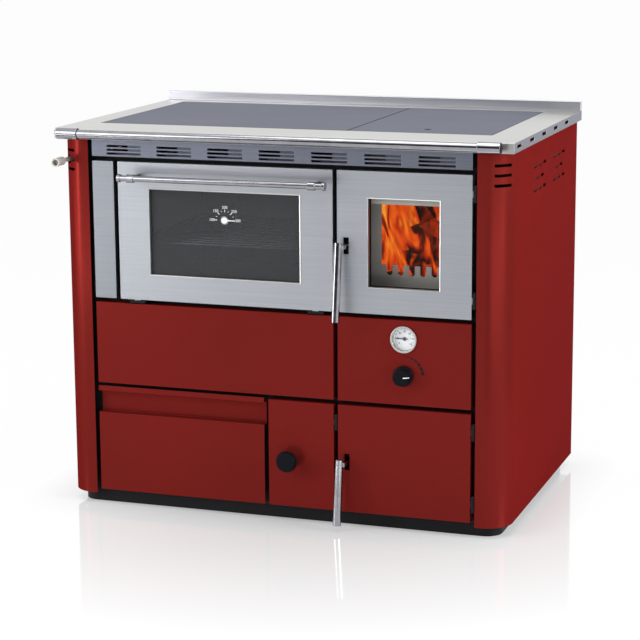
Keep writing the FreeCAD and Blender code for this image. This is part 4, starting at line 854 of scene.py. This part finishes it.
# Boiler gauge and air regulator
# The gauge is a white dial under glass in a stainless case. The regulator is a black knob whose
# white line points along a printed arc that grows towards more air.
dial_white = Finish("dial_white", {"Roughness": 0.45})
dial_white.set({"Base Color": dial_white.between(dial_white.grain(120.0), shade(246, 248, 254), WHITE)})
black_print = Finish("black_print", {"Roughness": 0.55, "Specular IOR Level": 0.1})
black_print.set({"Base Color": black_print.between(black_print.grain(300.0), shade(14, 14, 16),
                                                   shade(30, 30, 32))})
gauge_pane = Finish("gauge_glass", {"Base Color": shade(230, 234, 238), "Roughness": 0.03})
gauge_pane.set({"Alpha": 0.04 + gauge_pane.grain(40.0) * 0.06})

eased(frame_steel, "gauge_case", radius=0.0006)
dress(dial_white, "gauge_dial")
dress(gauge_pane, "gauge_glass")
dress(plate, "air_valve")

# The needle's back is raised clear of the printed scale that it sweeps over.
NEEDLE_RAISE = 0.0004
dial_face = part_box("gauge_dial")[0].y
needle_mesh = merged("gauge_needle")
for vertex in needle_mesh.vertices:
    vertex.co.y = min(vertex.co.y, dial_face - NEEDLE_RAISE)
needle = settled("gauge_needle_finished", needle_mesh, black_print, "gauge_needle")
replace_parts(needle, "gauge_needle")
eased(black_plastic, "regulator_knob", radius=0.0015)

DIAL = seen_middle("gauge_dial", dial_face - PRINT)
DIAL_START = 220
DIAL_TURN = -260
DIAL_NUMBERS = (0.0158, 0.0158)
DIAL_NUMBER_HEIGHT = 0.0040
dial_prints = []
for count, radius, length, width in ((13, 0.0208, 0.0034, 0.0007), (61, 0.0216, 0.0018, 0.0003)):
    dial_prints.append(dial_marks(DIAL, count, DIAL_START, DIAL_TURN / (count - 1), radius,
                                  (length, PRINT, width), black_print))
for index in range(7):
    place = DIAL + round_to(DIAL_START + DIAL_TURN * index / 6, *DIAL_NUMBERS)
    dial_prints.append(numeral(20 * index, DIAL_NUMBER_HEIGHT, place))
printed("gauge_dial_scale", dial_prints, black_print, "cabinet")

knob_low, knob_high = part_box("regulator_knob")
KNOB_RADIUS = (knob_high.x - knob_low.x) / 2
LINE_START = 8
LINE_PLACE = KNOB_RADIUS * 0.58
LINE = (KNOB_RADIUS * 0.62, 0.0004, 0.0022)
knob_line = dial_marks(seen_middle("regulator_knob", knob_low.y), 1, LINE_START, 0, LINE_PLACE, LINE,
                       white_print)
printed("regulator_line", [knob_line], white_print, "regulator")

ARC = seen_middle("regulator_knob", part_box("control_panel")[0].y)
ARC_START = 92
ARC_TURN = -13.5
ARC_RADIUS = 0.043
DASHES = 7
DASH_FIRST = 0.0014
DASH_GROWTH = 0.0009
DASH_LENGTH = 0.0082
arc_prints = []
for index in range(DASHES):
    dash = (DASH_FIRST + DASH_GROWTH * index, PRINT * 2, DASH_LENGTH)
    arc_prints.append(dial_marks(ARC, 1, ARC_START + ARC_TURN * index, 0, ARC_RADIUS, dash, black_print))
printed("regulator_scale", arc_prints, black_print, "cabinet")


# Flue and damper
# The smoke chamber gathers the gases into a black flue collar at the back. A dull steel knob at the
# left corner pulls the rod that turns the damper flap.
dress(plate, "smoke_chamber", "damper_flap")
eased(black_paint, "flue_collar", radius=0.0010)
eased(guard_steel, "damper_pull", radius=0.0008)
dress(zinc, "damper_guides")


# Insulation
# Stone wool slabs lie between the hot parts and the cabinet, cut square and soft at their faces, and
# dark with their binder.
wool = Finish("mineral_wool", {"Roughness": 1.0, "Sheen Weight": 0.1})
fluff = wool.grain(90.0, detail=6.0, stretch=(1.0, 1.0, 3.0), distortion=2.0)
wool.set({"Base Color": wool.between(fluff, shade(46, 43, 38), shade(92, 87, 76))})
wool.rough(fluff, depth=0.003, strength=0.8)

WOOL_STEP = 0.012
WOOL_DEPTH = 0.0025
WOOL_GRAIN = 55
slab = linked("work", merged("insulation"))
remesh = slab.modifiers.new("slab", "REMESH")
remesh.mode = "VOXEL"
remesh.voxel_size = WOOL_STEP
wool_mesh = evaluated(slab)
normals = [normal.vector.copy() for normal in wool_mesh.vertex_normals]
for vertex, normal in zip(wool_mesh.vertices, normals):
    ruffle = 0.5 + 0.5 * noise.noise(vertex.co * WOOL_GRAIN)
    vertex.co -= normal * WOOL_DEPTH * (0.4 + ruffle)
wool_mesh.shade_smooth()
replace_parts(settled("insulation_wool", wool_mesh, wool, "cabinet"), "insulation")


# Studio
# A pale, faintly glossy floor runs out of sight; the light is soft and even, and the camera stands
# where the photograph was taken.
def looked_at(nodes):
    """1 for rays that show a surface, directly, in metal or through glass; 0 for other rays."""
    camera, glossy, through = (nodes.node("ShaderNodeLightPath", output=f"Is {kind} Ray")
                               for kind in ("Camera", "Glossy", "Transmission"))
    return camera + glossy + through


def sheet(name, corners, material, unseen_by=()):
    """A flat sheet with four corners, part of the studio."""
    mesh = bpy.data.meshes.new(name)
    mesh.from_pydata(corners, [], [(0, 1, 2, 3)])
    mesh.materials.append(material)
    item = linked(name, mesh)
    for ray in unseen_by:
        setattr(item, f"visible_{ray}", False)


def area_light(name, width, height, power):
    """A rectangular lamp, not yet in its place."""
    lamp = bpy.data.lights.new(name, "AREA")
    lamp.shape = "RECTANGLE"
    lamp.size = width
    lamp.size_y = height
    lamp.energy = power
    return linked(name, lamp)


floor_finish = bpy.data.materials.new("studio_floor")
floor_finish.use_nodes = True
ground = Nodes(floor_finish.node_tree)
ground.tree.nodes.clear()
matt = ground.node("ShaderNodeBsdfDiffuse", {"Color": (0.86, 0.86, 0.87, 1.0)})
glowing = ground.node("ShaderNodeEmission", {"Color": WHITE})
sheen = ground.node("ShaderNodeBsdfGlossy", {"Color": WHITE, "Roughness": 0.07})

# Close to the stove more of the floor is matt, so that its shadow shows along the plinth.
FOOT_HALF = (0.47, 0.30, 0.0)
FOOT_SHADE = 0.16
mirrored = ground.node("ShaderNodeVectorMath", {0: ground.place()}, operation="ABSOLUTE")
outside = ground.node("ShaderNodeVectorMath", {0: mirrored, 1: FOOT_HALF}, operation="SUBTRACT")
beyond = ground.node("ShaderNodeVectorMath", {0: outside, 1: (0.0, 0.0, 0.0)}, operation="MAXIMUM")
away = ground.node("ShaderNodeVectorMath", {0: beyond}, output="Value", operation="LENGTH")
paleness = ground.ramp(away, ((0.0, (0.42, 0.42, 0.42, 1.0)), (FOOT_SHADE, (0.96, 0.96, 0.96, 1.0))))
pale = ground.node("ShaderNodeMixShader", {0: paleness, 1: matt, 2: glowing})

# The mirror image fades as it runs away from the stove.
FADE_RATE = 0.96
MIRROR = 0.52
fade = ground.node("ShaderNodeTexGradient", {0: ground.place((FADE_RATE, FADE_RATE, FADE_RATE))},
                   output="Fac", gradient_type="SPHERICAL")
shown = ground.node("ShaderNodeMixShader", {0: fade * MIRROR, 1: pale, 2: sheen})
both = ground.node("ShaderNodeMixShader", {0: looked_at(ground), 1: matt, 2: shown})
ground.node("ShaderNodeOutputMaterial", {0: both})

FLOOR_REACH = 30.0
sheet("floor", [(-FLOOR_REACH, -FLOOR_REACH, 0), (FLOOR_REACH, -FLOOR_REACH, 0),
                (FLOOR_REACH, FLOOR_REACH, 0), (-FLOOR_REACH, FLOOR_REACH, 0)], floor_finish)

# A dark card stands behind the camera, so that the polished tubes have something to mirror.
card_finish = Finish("studio_card", {"Base Color": (0.03, 0.03, 0.035, 1.0), "Roughness": 0.9}).material
CARD_Y = -6.6
CARD_HALF = 5.0
CARD_LOW = 0.7
CARD_HIGH = 5.5
sheet("card", [(-CARD_HALF, CARD_Y, CARD_HIGH), (CARD_HALF, CARD_Y, CARD_HIGH),
               (CARD_HALF, CARD_Y, CARD_LOW), (-CARD_HALF, CARD_Y, CARD_LOW)], card_finish,
      unseen_by=("camera",))

world = bpy.data.worlds.new("studio")
bpy.context.scene.world = world
world.use_nodes = True
sky = Nodes(world.node_tree)
sky.tree.nodes.clear()
room = sky.node("ShaderNodeBackground", {"Color": WHITE, "Strength": 0.5})
backdrop = sky.node("ShaderNodeBackground", {"Color": WHITE, "Strength": 1.0})
choice = sky.node("ShaderNodeMixShader", {0: looked_at(sky), 1: room, 2: backdrop})
sky.node("ShaderNodeOutputWorld", {0: choice})

# Each lamp's place, width, height and power; all look at the middle of the stove.
LAMPS = (
    ("front_left", (-2.6, -3.4, 2.4), 2.2, 2.2, 62.0),
    ("right", (3.8, -0.7, 1.7), 1.8, 1.8, 112.0),
    ("above", (0.2, -0.6, 3.6), 2.6, 2.6, 60.0),
    ("left", (-3.4, -2.4, 0.9), 0.7, 2.4, 60.0),
)
AIM = Vector((0, 0, 0.45))
for name, place, width, height, power in LAMPS:
    light = area_light(name, width, height, power)
    light.location = place
    light.rotation_euler = (AIM - Vector(place)).to_track_quat("-Z", "Y").to_euler()

# Two strip lights lie on the floor and run away from the front corners, each between dark mats. The
# rounded corners mirror them as one bright line between two dark ones.
MAT_NEAR = 1.3
MAT_FAR = 5.0
MAT_HEIGHT = 0.004
STRIP_WIDTH = 1.0
STRIP_POWER = 75.0
STRIP_HEIGHT = 0.01
CORNER_INSET = 0.04
CORNER_X = cad_box[1][0] - CORNER_INSET
CORNER_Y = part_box("control_panel")[0].y


def from_corner(side, bearing, distance, height):
    """A place at a bearing and distance from a front corner; side is 1 for the right one."""
    turn = math.radians(bearing)
    sideways, forward = distance * math.sin(turn), distance * math.cos(turn)
    return Vector((side * CORNER_X + sideways, CORNER_Y - forward, height))


# Each strip's side, name and bearing, and the bearings of the two edges of each mat.
STRIPS = (
    (1, "right_strip", 56, ((2, 30), (92, 140))),
    (-1, "left_strip", -58, ((-38, -24), (-125, -92))),
)
for side, name, bearing, mats in STRIPS:
    light = area_light(name, STRIP_WIDTH, MAT_FAR - MAT_NEAR, STRIP_POWER)
    light.location = from_corner(side, bearing, (MAT_NEAR + MAT_FAR) / 2, STRIP_HEIGHT)
    light.rotation_euler = (math.pi, 0, -math.radians(bearing))
    light.visible_camera = False
    for number, (first, last) in enumerate(mats, start=1):
        reach = ((first, MAT_NEAR), (last, MAT_NEAR), (last, MAT_FAR), (first, MAT_FAR))
        sheet(f"{name}_mat_{number}", [from_corner(side, *edge, MAT_HEIGHT) for edge in reach],
              card_finish, unseen_by=("camera", "diffuse", "shadow"))

AZIMUTH = math.radians(18.95)
ELEVATION = math.radians(11.74)
ROLL = math.radians(0.38)
CAMERA_PLACE = (1.51378, -4.45552, 1.36358)
back_axis = Vector((math.sin(AZIMUTH) * math.cos(ELEVATION), -math.cos(AZIMUTH) * math.cos(ELEVATION),
                    math.sin(ELEVATION)))
right_axis = Vector((0, 0, 1)).cross(back_axis).normalized()
up_axis = back_axis.cross(right_axis)
rolled_right = right_axis * math.cos(ROLL) - up_axis * math.sin(ROLL)
rolled_up = right_axis * math.sin(ROLL) + up_axis * math.cos(ROLL)
camera_data = bpy.data.cameras.new("camera")
camera_data.lens = 117.1
camera_data.sensor_width = 36.0
camera = linked("camera", camera_data)
camera.matrix_world = (Matrix.Translation(CAMERA_PLACE)
                       @ Matrix((rolled_right, rolled_up, back_axis)).transposed().to_4x4())
bpy.context.scene.camera = camera
bpy.context.scene.view_settings.view_transform = "Standard"
